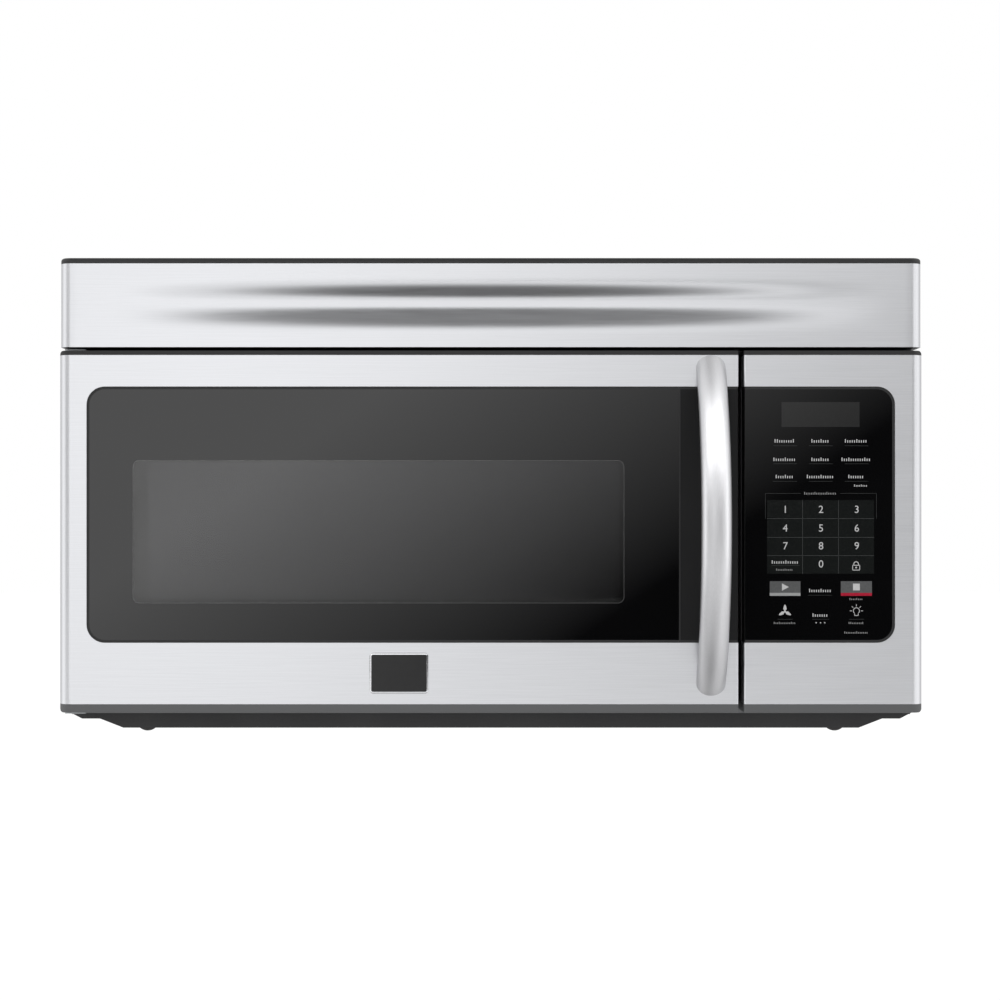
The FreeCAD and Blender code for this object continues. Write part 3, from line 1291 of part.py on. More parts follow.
def waveguide():
    """The channel that carries the microwaves from the magnetron's antenna to the port."""
    x0, x1 = CAVITY_SIDE, CAVITY_SIDE + GUIDE_OUT
    y0, y1 = -PORT_Y - GUIDE_WIDE / 2, -PORT_Y + GUIDE_WIDE / 2
    guide = block(x0, x1, y0, y1, guide_top() - GUIDE_TALL, guide_top())
    guide = guide.cut(block(
        x0, x1 - SHEET, y0 + SHEET, y1 - SHEET, guide_top() - GUIDE_TALL + SHEET, guide_top() - SHEET,
    ))
    return guide.cut(rod(x0, -PORT_Y, magnetron_z(), AXIS_X, 2 * GUIDE_OUT, ANTENNA_R + TOUCH))


def component_shelf():
    """The shelf that carries the transformer and the capacitor beside the oven."""
    s = CAVITY_SHEET
    return block(CAVITY_SIDE, CASE_X - 2 * SHEET, CASE_FRONT, BACK - SHEET, CAVITY_LOW - s, CAVITY_LOW)


def magnetron():
    """The yoke, tube, cooling fins and filter box of the microwave source, on one axis along X."""
    x0 = CAVITY_SIDE + GUIDE_OUT
    z = magnetron_z()
    half_y, half_z = MAGNETRON_WIDE / 2, MAGNETRON_HIGH / 2
    x1, wall = x0 + YOKE_LONG, YOKE_SHEET
    yoke = block(x0, x1, -PORT_Y - half_y, -PORT_Y + half_y, z - half_z, z + half_z)
    yoke = yoke.cut(block(x0 + wall, x1 - wall, -PORT_Y - 2 * half_y, -PORT_Y + 2 * half_y,
                          z - half_z + wall, z + half_z - wall))
    tube = rod(x0, -PORT_Y, z, AXIS_X, YOKE_LONG, TUBE_R)
    antenna = rod(x0 - ANTENNA_LONG, -PORT_Y, z, AXIS_X, ANTENNA_LONG + wall, ANTENNA_R)
    box = block(x1, x0 + MAGNETRON_LONG, -PORT_Y - FILTER_BOX_WIDE / 2, -PORT_Y + FILTER_BOX_WIDE / 2,
                z - FILTER_BOX_HIGH / 2, z + FILTER_BOX_HIGH / 2)
    solid = yoke.fuse(tube).fuse(antenna).fuse(box)
    pitch = (YOKE_LONG - 2 * wall) / (MAGNETRON_FINS + 1)
    for i in range(MAGNETRON_FINS):
        x = x0 + wall + pitch * (i + 1) - FIN_SHEET / 2
        solid = solid.fuse(block(
            x, x + FIN_SHEET, -PORT_Y - half_y, -PORT_Y + half_y, z - half_z + wall, z + half_z - wall,
        ))
    return solid.removeSplitter()


def transformer_places():
    """Middle of the high-voltage transformer on the shelf."""
    return BAY_X + BAY_SHIFT, CASE_FRONT + CORE_LONG / 2 + BAY_FRONT


def transformer_core():
    x, y = transformer_places()
    half_x, half_y = CORE_WIDE / 2, CORE_LONG / 2
    core = block(x - half_x, x + half_x, y - half_y, y + half_y, CAVITY_LOW, CAVITY_LOW + CORE_HIGH)
    limb = CORE_LONG / 6
    for side in (-1, 1):
        y0, y1 = sorted((y + side * limb, y + side * 2 * limb))
        core = core.cut(block(
            x - half_x, x + half_x, y0, y1, CAVITY_LOW + limb, CAVITY_LOW + CORE_HIGH - limb,
        ))
    return core


def transformer_windings():
    """Primary and secondary coils round the core's middle limb."""
    x, y = transformer_places()
    limb = CORE_LONG / 6
    half_x = CORE_WIDE / 2
    reach = half_x + COIL_OVER
    window_low, window_high = CAVITY_LOW + limb, CAVITY_LOW + CORE_HIGH - limb
    middle = (window_low + window_high) / 2
    solids = []
    for z0, z1 in ((window_low, middle - TOUCH), (middle + TOUCH, window_high)):
        y0, y1 = y - 2 * limb + TOUCH, y + 2 * limb - TOUCH
        coil = block(x - reach, x + reach, y0, y1, z0 + TOUCH, z1 - TOUCH)
        coil = coil.makeFillet(COIL_ROUND, upright_edges(coil, AXIS_Z))
        coil = coil.cut(block(
            x - half_x - TOUCH, x + half_x + TOUCH, y - limb - TOUCH, y + limb + TOUCH, z0, z1,
        ))
        solids.append(coil)
    return solids


def capacitor():
    """The high-voltage capacitor: a flat oval can with two tabs."""
    x, y = BAY_X + BAY_SHIFT, -PORT_Y + MAGNETRON_WIDE / 2 + CAPACITOR_WIDE
    half_x, half_y = CAPACITOR_LONG / 2, CAPACITOR_WIDE / 2
    top = CAVITY_LOW + CAPACITOR_HIGH
    can = block(x - half_x, x + half_x, y - half_y, y + half_y, CAVITY_LOW, top)
    can = can.makeFillet(CAPACITOR_ROUND, upright_edges(can, AXIS_Z))
    half, thin = TAB_WIDE / 2, TAB_SHEET / 2
    for side in (-1, 1):
        tab_x = x + side * half_x / 2
        can = can.fuse(rod(tab_x, y, top, AXIS_Z, TAB_COLLAR, TAB_COLLAR_R))
        can = can.fuse(block(tab_x - half, tab_x + half, y - thin, y + thin, top, top + TAB_LONG))
    return can.removeSplitter()


# ---- Turntable --------------------------------------------------------------------------------------


def turned(points, x, y, z):
    """A solid turned about an upright axis from (radius, height) corners."""
    corners = [Vector(x + r, y, z + h) for r, h in points]
    face = Part.Face(Part.makePolygon(corners + corners[:1]))
    return face.revolve(Vector(x, y, z), AXIS_Z, 360)


def turntable_motor():
    x, y = CAVITY_MID_X, CAVITY_MID_Y
    top = CAVITY_LOW - CAVITY_SHEET
    motor = rod(x, y, top - TT_MOTOR_HIGH, AXIS_Z, TT_MOTOR_HIGH, TT_MOTOR_R)
    for side in (-1, 1):
        ear = block(
            *sorted((x, x + side * (TT_MOTOR_R + TT_MOTOR_EAR))), y - SCREW_HEAD_R, y + SCREW_HEAD_R,
            top - SHEET, top,
        )
        motor = motor.fuse(ear)
    return motor.cut(rod(x, y, top - SHAFT_DEEP, AXIS_Z, SHAFT_DEEP, SHAFT_R + SHAFT_FIT)).removeSplitter()


def turntable_coupler():
    """The three-lobed driver on the turntable motor's shaft."""
    x, y = CAVITY_MID_X, CAVITY_MID_Y
    top = TRAY_Z - TOUCH
    low = CAVITY_LOW + SHEET
    body = rod(x, y, low, AXIS_Z, top - low, COUPLER_R)
    for i in range(TRAY_LUGS):
        lobe = block(x, x + COUPLER_R + COUPLER_LOBE, y - LUG_HALF, y + LUG_HALF, low, top)
        lobe.rotate(Vector(x, y, low), AXIS_Z, 360 / TRAY_LUGS * i)
        body = body.fuse(lobe)
    foot = CAVITY_LOW - CAVITY_SHEET - SHAFT_DEEP + TOUCH
    return body.fuse(rod(x, y, foot, AXIS_Z, low - foot, SHAFT_R)).removeSplitter()


def glass_tray():
    """The glass turntable, with three lugs under it that the coupler drives."""
    x, y = CAVITY_MID_X, CAVITY_MID_Y
    inner, sheet, rim = TRAY_R - TRAY_RIM_WIDE, TRAY_SHEET, TRAY_RIM
    lip = TRAY_LIP
    outline = [
        (0, 0), (inner, 0), (TRAY_R, rim - lip), (TRAY_R, rim), (TRAY_R - lip, rim), (inner - lip, sheet),
        (0, sheet),
    ]
    tray = turned(outline, x, y, TRAY_Z)
    for i in range(TRAY_LUGS):
        lug = block(
            x + LUG_R - LUG_HALF, x + LUG_R + LUG_HALF, y - LUG_HALF, y + LUG_HALF, TRAY_Z - LUG_HIGH,
            TRAY_Z + SHEET,
        )
        lug.rotate(Vector(x, y, TRAY_Z), AXIS_Z, 360 / TRAY_LUGS * (i + 0.5))
        tray = tray.fuse(lug)
    return tray.removeSplitter()


def roller_angles():
    return [360 / ROLLERS * i + 90 for i in range(ROLLERS)]


def roller_ring():
    """The plastic ring that keeps the rollers under the tray, with a pin for each."""
    x, y = CAVITY_MID_X, CAVITY_MID_Y
    half = RING_HIGH / 2
    ring = turned([(RING_IN, -half), (RING_OUT, -half), (RING_OUT, half), (RING_IN, half)], x, y, ROLLER_Z)
    end = RING_OUT + 2 * ROLLER_PLAY + ROLLER_WIDE
    for angle in roller_angles():
        pin = rod(x + RING_OUT - SHEET, y, ROLLER_Z, AXIS_X, end - RING_OUT + 2 * SHEET, ROLLER_PIN_R)
        cap_disc = rod(x + end, y, ROLLER_Z, AXIS_X, 2 * SHEET, ROLLER_CAP_R)
        pin = pin.fuse(cap_disc)
        pin.rotate(Vector(x, y, ROLLER_Z), AXIS_Z, angle)
        ring = ring.fuse(pin)
    return ring.removeSplitter()


def roller(angle):
    x, y = CAVITY_MID_X, CAVITY_MID_Y
    wheel = rod(x + RING_OUT + ROLLER_PLAY, y, ROLLER_Z, AXIS_X, ROLLER_WIDE, ROLLER_R)
    wheel = wheel.cut(rod(x + RING_OUT, y, ROLLER_Z, AXIS_X, 2 * ROLLER_WIDE, ROLLER_PIN_R + ROLLER_FIT))
    wheel.rotate(Vector(x, y, ROLLER_Z), AXIS_Z, angle)
    return wheel


# ---- Hood blower ------------------------------------------------------------------------------------


def blower_rod(x0, x1, radius):
    return rod(x0, -BLOWER_Y, BLOWER_Z, AXIS_X, x1 - x0, radius)


def blower_motor():
    """The motor between the two blower wheels, on a foot over the oven."""
    motor = blower_rod(-MOTOR_LONG / 2, MOTOR_LONG / 2, MOTOR_R)
    foot_low = CAVITY_TOP + CAVITY_SHEET
    half_x, half_y = MOTOR_LONG / 2 - MOTOR_GAP, MOTOR_R / 2
    foot = block(-half_x, half_x, -BLOWER_Y - half_y, -BLOWER_Y + half_y, foot_low, BLOWER_Z)
    motor = motor.fuse(foot)
    return motor.cut(blower_rod(-MOTOR_LONG, MOTOR_LONG, BLOWER_SHAFT_R + SHAFT_FIT)).removeSplitter()


def blower_shaft():
    return blower_rod(-HOUSING_X - WHEEL_HUB_R, HOUSING_X + WHEEL_HUB_R, BLOWER_SHAFT_R)


def blower_housing(side):
    """A round scroll with an inlet in each side and its outlet up into the duct."""
    x0, x1 = side * HOUSING_X - HOUSING_LONG / 2, side * HOUSING_X + HOUSING_LONG / 2
    roof = HEIGHT - SHEET
    chimney = block(x0, x1, -BLOWER_Y, -BLOWER_Y + HOUSING_R, BLOWER_Z, roof)
    foot_low = CAVITY_TOP + CAVITY_SHEET
    half = HOUSING_FOOT / 2
    foot = block(
        side * HOUSING_X - half, side * HOUSING_X + half, -BLOWER_Y - half, -BLOWER_Y + half, foot_low,
        BLOWER_Z,
    )
    shell = blower_rod(x0, x1, HOUSING_R).fuse(chimney).fuse(foot)
    w = HOUSING_WALL
    inner_chimney = block(x0 + w, x1 - w, -BLOWER_Y + w, -BLOWER_Y + HOUSING_R - w, BLOWER_Z, roof)
    shell = shell.cut(blower_rod(x0 + w, x1 - w, HOUSING_R - w).fuse(inner_chimney))
    return shell.cut(blower_rod(x0 - w, x1 + w, HOUSING_INLET_R)).removeSplitter()


def blower_wheel(side):
    """A squirrel-cage wheel: a hub and disc in the middle, blades all round and a ring at each end."""
    middle = side * HOUSING_X
    half = BLOWER_WHEEL_LONG / 2
    wheel = blower_rod(middle - WHEEL_HUB_R, middle + WHEEL_HUB_R, WHEEL_HUB_R)
    wheel = wheel.fuse(blower_rod(middle - BLADE_SHEET, middle + BLADE_SHEET, BLOWER_WHEEL_R - BLADE_SHEET))
    for x in (middle - half, middle + half - 2 * BLADE_SHEET):
        ring = blower_rod(x, x + 2 * BLADE_SHEET, BLOWER_WHEEL_R)
        bore = blower_rod(x - BLADE_SHEET, x + 3 * BLADE_SHEET, BLOWER_WHEEL_R - BLADE_DEEP)
        wheel = wheel.fuse(ring.cut(bore))
    blades = []
    thin = BLADE_SHEET / 2
    inner, outer = BLOWER_WHEEL_R - BLADE_DEEP + BLADE_SHEET, BLOWER_WHEEL_R - thin
    for i in range(BLOWER_BLADES):
        blade = block(
            middle - half, middle + half, -BLOWER_Y - thin, -BLOWER_Y + thin, BLOWER_Z + inner,
            BLOWER_Z + outer,
        )
        blade.rotate(Vector(middle, -BLOWER_Y, BLOWER_Z), AXIS_X, 360 / BLOWER_BLADES * i)
        blades.append(blade)
    wheel = wheel.multiFuse(blades)
    return wheel.cut(blower_rod(middle - half, middle + half, BLOWER_SHAFT_R)).removeSplitter()


# ---- Cooling fan ------------------------------------------------------------------------------------


def fan_z():
    return magnetron_z()


def fan_shroud():
    """The duct behind the cooling fan, on the rear panel."""
    half = FAN_PLATE_SIDE / 2
    shroud = block(BAY_X - half, BAY_X + half, -FAN_Y, BACK - SHEET, fan_z() - half, fan_z() + half)
    hollow = half - SHEET
    shroud = shroud.cut(block(
        BAY_X - hollow, BAY_X + hollow, -FAN_Y + SHEET, BACK, fan_z() - hollow, fan_z() + hollow,
    ))
    return shroud.cut(rod(BAY_X, -FAN_Y - 1, fan_z(), AXIS_Y, 2 * SHEET + 1, FAN_OPENING_R))


def fan_motor():
    """The fan's motor on a bar across the opening."""
    y1 = -FAN_Y
    motor = rod(BAY_X, y1 - FAN_MOTOR_LONG, fan_z(), AXIS_Y, FAN_MOTOR_LONG, FAN_MOTOR_R)
    half = FAN_PLATE_SIDE / 2
    bar = block(BAY_X - half, BAY_X + half, y1 - 2 * SHEET, y1, fan_z() - BOARD_POST, fan_z() + BOARD_POST)
    return motor.fuse(bar).cut(rod(
        BAY_X, y1 - FAN_MOTOR_LONG / 2, fan_z(), AXIS_Y, FAN_MOTOR_LONG, FAN_SHAFT_R + SHAFT_FIT,
    )).removeSplitter()


def fan_wheel():
    """The cooling fan: a hub with pitched blades on its shaft."""
    y0 = -FAN_Y + 2 * SHEET
    y_mid = y0 + FAN_DEEP / 2
    wheel = rod(BAY_X, y0, fan_z(), AXIS_Y, FAN_DEEP, FAN_HUB_R)
    half, thin = FAN_BLADE_WIDE / 2, FAN_BLADE_SHEET / 2
    for i in range(FAN_BLADES):
        blade = block(
            BAY_X - half, BAY_X + half, y_mid - thin, y_mid + thin, fan_z() + FAN_HUB_R - 4 * SHEET,
            fan_z() + FAN_R - SHEET,
        )
        blade.rotate(Vector(BAY_X, y_mid, fan_z()), AXIS_Z, FAN_PITCH)
        blade = blade.common(rod(BAY_X, y0, fan_z(), AXIS_Y, FAN_DEEP, FAN_R))
        blade.rotate(Vector(BAY_X, y0, fan_z()), AXIS_Y, 360 / FAN_BLADES * i)
        wheel = wheel.fuse(blade)
    start = -FAN_Y - FAN_MOTOR_LONG / 2 + TOUCH
    return wheel.fuse(rod(BAY_X, start, fan_z(), AXIS_Y, y0 - start + SHEET, FAN_SHAFT_R)).removeSplitter()


# ---- Hood underside -----------------------------------------------------------------------------------


def grease_filter(side):
    """An aluminium frame with a mesh of bars, flush with the underside."""
    z0, z1 = PAN_FLOOR, PAN_FLOOR + FILTER_THICK
    frame = filter_cut(side, 0, z0, z1)
    frame = frame.cut(filter_cut(side, -FILTER_FRAME, z0 - 1, z1 + 1))
    inner = FILTER_LONG - 2 * FILTER_FRAME
    pitch = inner / (FILTER_BARS + 1)
    x_start = side * FILTER_X - inner / 2
    y0, y1 = -FILTER_Y - FILTER_DEEP / 2 + SHEET, -FILTER_Y + FILTER_DEEP / 2 - SHEET
    bars = []
    for i in range(FILTER_BARS):
        x = x_start + pitch * (i + 1) - FILTER_BAR_WIDE / 2
        bars.append(block(x, x + FILTER_BAR_WIDE, y0, y1, z0 + SHEET, z1 - SHEET))
    return frame.multiFuse(bars).removeSplitter()


def lamp_lens(side):
    floor = PAN_FLOOR + SHEET
    flange = lens_cut(side, LENS_LAP, floor, floor + LENS_THICK)
    return flange.fuse(lens_cut(side, 0, PAN_FLOOR, floor)).removeSplitter()


def bulb(x, y, z, way, radius):
    """A round lamp bulb whose neck starts at a point and runs along X."""
    neck = radius / 2
    middle = x + way * BULB_OUT * radius
    join = middle - way * math.sqrt(radius ** 2 - neck ** 2)
    tip = middle + way * radius
    edges = [
        Part.LineSegment(Vector(x, y, z), Vector(x, y, z + neck)),
        Part.LineSegment(Vector(x, y, z + neck), Vector(join, y, z + neck)),
        Part.Arc(Vector(join, y, z + neck), Vector(middle, y, z + radius), Vector(tip, y, z)),
        Part.LineSegment(Vector(tip, y, z), Vector(x, y, z)),
    ]
    face = Part.Face(Part.Wire([edge.toShape() for edge in edges]))
    return face.revolve(Vector(x, y, z), AXIS_X, 360)


def cooktop_lamp(side):
    """A bulb lying in its socket, which stands on the lens's flange."""
    floor = PAN_FLOOR + SHEET + LENS_THICK
    z = floor + LAMP_R + 2 * SHEET
    socket_x = side * LENS_X - LENS_LONG / 2
    socket = block(
        socket_x - LENS_LAP, socket_x + BULB_SOCKET, -LENS_Y - LAMP_R, -LENS_Y + LAMP_R, floor, z + LAMP_R,
    )
    return socket, bulb(socket_x + BULB_SOCKET, -LENS_Y, z, 1, LAMP_R)


def cavity_lamp():
    """The oven's lamp in its box, on the outside of the oven's right wall."""
    y, z = cavity_lamp_place()
    half = LAMP_GRID * LAMP_PITCH / 2 + SHEET
    inner = half - SHEET
    end = CAVITY_SIDE + LAMP_LONG
    case = block(CAVITY_SIDE, end, y - half, y + half, z - half, z + half)
    case = case.cut(block(CAVITY_SIDE, end - SHEET, y - inner, y + inner, z - inner, z + inner))
    return case, bulb(end - SHEET, y, z, -1, OVEN_BULB_R)


def sheet_screws():
    """The like screws of the case's sides, the exhaust adapter and the hinges."""
    solids = [screw(side * CASE_X, case_screw_y(), z, AXIS_X * side) for side, z in case_screw_places()]
    solids += [screw(x, y, HEIGHT + SHEET, AXIS_Z) for x, y in duct_screw_places()]
    return solids


# ---- Nodes ------------------------------------------------------------------------------------------

save("wall_plate", wall_plate())
save("outer_case", outer_case())
save("rear_panel", rear_panel())
save("front_plate", front_plate())
save("base_pan", base_pan())
save("rubber_feet", *rubber_feet())
save("pan_screws", *pan_screws())
save("sheet_screws", *sheet_screws())
save("exhaust_adapter", *exhaust_adapter(), damper_stop())
save("damper_flap", damper_flap())
save("cord_bushing", cord_bushing())
save("door_hinges", *[hinge(*row) for row in hinge_pair()])

save("door_frame", door_frame())
save("door_skin", door_skin())
save("door_glass", door_glass())
save("handle_trim", handle_trim())
save("door_inner_panel", door_inner_panel())
save("door_screen", door_screen())
save("choke_cover", choke_cover())
save("handle", handle())
save("handle_screws", *handle_screws())
save("badge", badge())
save("latch_bar", latch_bar())
save("latch_spring", latch_spring())

save("vent_grille", vent_grille())
save("vent_skin", vent_skin())
save("charcoal_filter", charcoal_filter())
save("control_frame", control_frame())
save("control_skin", control_skin())
save("control_glass", control_glass())
save("control_board", control_board())

save("latch_bracket", latch_bracket())
save("microswitches", microswitch(ARM_LOW_Z), microswitch(ARM_HIGH_Z))
save("switch_plunger_low", switch_plunger(ARM_LOW_Z))
save("switch_plunger_high", switch_plunger(ARM_HIGH_Z))

save("cavity_wrap", cavity_wrap())
save("cavity_back", cavity_back())
save("waveguide", waveguide())
save("waveguide_cover", waveguide_cover())
save("magnetron", magnetron())
save("component_shelf", component_shelf())
save("transformer", transformer_core(), *transformer_windings())
save("capacitor", capacitor())

save("turntable_motor", turntable_motor())
save("turntable_coupler", turntable_coupler())
save("glass_tray", glass_tray())
save("roller_ring", roller_ring())
for number, angle in enumerate(roller_angles(), 1):
    save("roller_" + str(number), roller(angle))

save("blower_motor", blower_motor())
save("blower_housings", blower_housing(-1), blower_housing(1))
save("blower_rotor", blower_shaft(), blower_wheel(-1), blower_wheel(1))
save("fan_shroud", fan_shroud())
save("fan_motor", fan_motor())
save("fan_wheel", fan_wheel())

save("grease_filter_left", grease_filter(-1))
save("grease_filter_right", grease_filter(1))
save("lamp_lenses", lamp_lens(-1), lamp_lens(1))
save("lamps", *cooktop_lamp(-1), *cooktop_lamp(1), *cavity_lamp())
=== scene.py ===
# %% [markdown]
# # An over-the-range microwave, dressed in Blender
#
# The machine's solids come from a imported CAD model. They are already the right size and in the right
# place, so this lesson never moves them. It gives every one of them a finish, and it rebuilds the few
# parts whose real surface is finer than a CAD solid should be.

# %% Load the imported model
import json
import math

import bmesh
import bpy
from mathutils import Matrix, Vector


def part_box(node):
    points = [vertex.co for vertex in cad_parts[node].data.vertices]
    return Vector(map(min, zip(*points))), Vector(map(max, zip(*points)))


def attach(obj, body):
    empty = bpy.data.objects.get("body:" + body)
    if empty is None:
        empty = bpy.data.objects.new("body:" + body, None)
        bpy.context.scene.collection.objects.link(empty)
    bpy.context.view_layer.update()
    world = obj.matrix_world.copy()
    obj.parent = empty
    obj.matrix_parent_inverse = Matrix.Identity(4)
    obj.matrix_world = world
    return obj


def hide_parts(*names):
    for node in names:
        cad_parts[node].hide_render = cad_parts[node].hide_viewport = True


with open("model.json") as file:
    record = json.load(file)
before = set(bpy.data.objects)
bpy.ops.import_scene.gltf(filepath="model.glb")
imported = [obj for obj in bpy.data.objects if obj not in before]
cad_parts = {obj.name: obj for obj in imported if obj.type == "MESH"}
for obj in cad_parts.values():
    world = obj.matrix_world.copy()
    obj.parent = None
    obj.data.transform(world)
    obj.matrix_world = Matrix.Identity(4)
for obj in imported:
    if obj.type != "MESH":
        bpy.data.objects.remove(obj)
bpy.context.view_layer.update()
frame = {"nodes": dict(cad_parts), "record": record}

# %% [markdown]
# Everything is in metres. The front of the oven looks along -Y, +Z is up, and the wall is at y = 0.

MM = 0.001

# %% [markdown]
# ## Small helpers
#
# Paint and plastic colours are known as sRGB hex numbers, but a shader works in linear light. One
# function turns the one into the other. A second adds any shader node with its settings and its links,
# so that a material reads from top to bottom as a recipe.

# %% Colours and nodes


def linear(hex_colour):
    """An sRGB hex colour as linear red, green, blue and alpha."""
    parts = [int(hex_colour[i:i + 2], 16) / 255 for i in (0, 2, 4)]
    return tuple(c / 12.92 if c <= 0.04045 else ((c + 0.055) / 1.055) ** 2.4 for c in parts) + (1.0,)


def add(tree, kind, inputs, **settings):
    """One node of a kind, with its settings. An input takes a value or another node's output."""
    node = tree.nodes.new("ShaderNode" + kind)
    for name, value in settings.items():
        setattr(node, name, value)
    for name, value in inputs.items():
        if isinstance(value, bpy.types.NodeSocket):
            tree.links.new(value, node.inputs[name])
        else:
            node.inputs[name].default_value = value
    return node


def start(name, **values):
    """A material with a Principled shader, and each point's own place on the object in metres."""
    material = bpy.data.materials.new(name)
    material.use_nodes = True
    tree = material.node_tree
    shader = tree.nodes["Principled BSDF"]
    for key, value in values.items():
        shader.inputs[key.replace("_", " ")].default_value = value
    return material, tree, shader, add(tree, "TexCoord", {}).outputs["Object"]


print("black on a paint chart, 202020, is", round(linear("202020")[0], 4), "in linear light")

# %% [markdown]
# A pattern needs a size. Blender's noise has about one spot per unit at scale 1, so a spot of a given
# size in millimetres needs the scale 1000 / size. Stretching the place of each point first gives long
# spots, which is how brushing marks are drawn.

# %% Patterns by their real size


def spots(tree, place, size_mm, stretch=(1, 1, 1), detail=2.0):
    """Noise from 0 to 1 with spots of a given size, which the stretch makes longer."""
    longer = add(tree, "Mapping", {"Vector": place, "Scale": [1 / s for s in stretch]})
    return add(tree, "TexNoise", {
        "Vector": longer.outputs["Vector"], "Scale": 1000 / size_mm, "Detail": detail,
    }).outputs["Fac"]


def between(tree, factor, low, high):
    """Turns a factor of about 0.3 to 0.7, as noise gives, into a range."""
    return add(tree, "MapRange", {
        "Value": factor, "From Min": 0.3, "From Max": 0.7, "To Min": low, "To Max": high,
    }).outputs["Result"]


def shades(tree, factor, low, high):
    """A colour between two, by a factor. Each is a hex colour or another node's output."""
    low, high = (linear(end) if isinstance(end, str) else end for end in (low, high))
    return add(tree, "Mix", {"Factor": factor, 6: low, 7: high}, data_type="RGBA").outputs[2]


def relief(tree, shader, factor, depth_mm, strength=1.0):
    """Raises the surface by a factor, over a real depth."""
    bump = add(tree, "Bump", {"Height": factor, "Distance": depth_mm * MM, "Strength": strength})
    tree.links.new(bump.outputs["Normal"], shader.inputs["Normal"])


print("spots of 0.7 mm need the noise scale", round(1000 / 0.7))

# %% [markdown]
# ## Metals
#
# The front is satin stainless steel: rolled, then brushed along its length with a fine belt. The real
# brushing lines are about 0.05 mm apart, too fine for a picture, so they are drawn at 0.7 mm and kept
# very faint. What the eye gets is a soft, even sheen. Metal keeps the default IOR.

# %% Satin stainless steel


def satin_stainless(name, low, high, roughness, grain=(60, 1, 1), metal=1.0):
    """Brushed stainless steel, its lines long along the grain's direction."""
    material, tree, shader, place = start(name, Metallic=metal)
    lines = spots(tree, place, 0.7, grain, 3.0)
    cloudy = spots(tree, place, 90.0)
    tint = shades(tree, between(tree, lines, 0.2, 0.8), low, high)
    veiled = shades(tree, between(tree, cloudy, 0.0, 0.12), tint, high)
    tree.links.new(veiled, shader.inputs["Base Color"])
    tree.links.new(between(tree, lines, roughness - 0.02, roughness + 0.02), shader.inputs["Roughness"])
    relief(tree, shader, lines, 0.004, 0.15)
    return material


# %% [markdown]
# Hidden sheet metal is galvanised: dipped in zinc, which freezes into patches called spangle. Cells of
# a Voronoi texture, about 9 mm across, each get their own slight grey.

# %% Galvanised sheet steel


def galvanised_sheet(name, dark, light, spangle_mm=9.0, roughness=0.42):
    """Zinc coated sheet with its frozen patches."""
    material, tree, shader, place = start(name, Metallic=0.85)
    cells = add(tree, "TexVoronoi", {"Vector": place, "Scale": 1000 / spangle_mm})
    patch = add(tree, "SeparateColor", {"Color": cells.outputs["Color"]}).outputs["Red"]
    tree.links.new(shades(tree, patch, dark, light), shader.inputs["Base Color"])
    tree.links.new(between(tree, patch, roughness - 0.05, roughness + 0.08), shader.inputs["Roughness"])
    relief(tree, shader, spots(tree, place, 2.0), 0.01, 0.3)
    return material


# %% [markdown]
# Screws, springs and drawn cans are plated or bare metal. They share one recipe: a metal with fine
# tumbling or drawing marks that vary its gloss.

# %% Plated and drawn metal


def plated_metal(name, dark, light, roughness, marks_mm=0.8, stretch=(1, 1, 1)):
    """Metal with small handling or drawing marks."""
    material, tree, shader, place = start(name, Metallic=1.0)
    marks = spots(tree, place, marks_mm, stretch, 3.0)
    tree.links.new(shades(tree, between(tree, marks, 0.1, 0.9), dark, light), shader.inputs["Base Color"])
    tree.links.new(between(tree, marks, roughness - 0.06, roughness + 0.08), shader.inputs["Roughness"])
    relief(tree, shader, marks, 0.006, 0.3)
    return material


# %% [markdown]
# ## Paint and plastic
#
# The case and the pan are painted with a dark textured powder, which melts into low bumps about 0.8 mm
# across. Oven paint is smooth and speckled instead. Both are the same recipe with other numbers.

# %% Powder paint and baked oven paint


def powder_paint(name, dark, light, grain_mm, depth_mm, roughness):
    """Baked powder paint with a low orange-peel grain."""
    material, tree, shader, place = start(name, IOR=1.5)
    grain = spots(tree, place, grain_mm, detail=3.0)
    tree.links.new(shades(tree, between(tree, grain, 0.0, 1.0), dark, light), shader.inputs["Base Color"])
    worn = spots(tree, place, 70.0)
    tree.links.new(between(tree, worn, roughness - 0.04, roughness + 0.06), shader.inputs["Roughness"])
    relief(tree, shader, grain, depth_mm, 0.6)
    return material


# %% [markdown]
# The mouldings are ABS, injection moulded against a spark-eroded tool. That leaves a fine even grain,
# about 0.35 mm across, drawn at 0.6 mm so that it shows. A gloss moulding has almost none.

# %% Moulded plastic


def moulded_plastic(name, dark, light, roughness, grain_depth_mm=0.02, gloss=0.5):
    """ABS or a similar plastic with the grain of its tool."""
    material, tree, shader, place = start(name, IOR=1.53, Specular_IOR_Level=gloss)
    grain = spots(tree, place, 0.6)
    flow = spots(tree, place, 55.0)
    tree.links.new(shades(tree, between(tree, flow, 0.0, 1.0), dark, light), shader.inputs["Base Color"])
    tree.links.new(between(tree, grain, roughness - 0.04, roughness + 0.04), shader.inputs["Roughness"])
    relief(tree, shader, grain, grain_depth_mm, 0.5)
    return material


# %% [markdown]
# The door's and the panel's moulding is black round the glass, and its lip under the steel is a lighter
# grey. The height of a point parts the two.

# %% Front moulding
steel_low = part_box("door_skin")[0].z


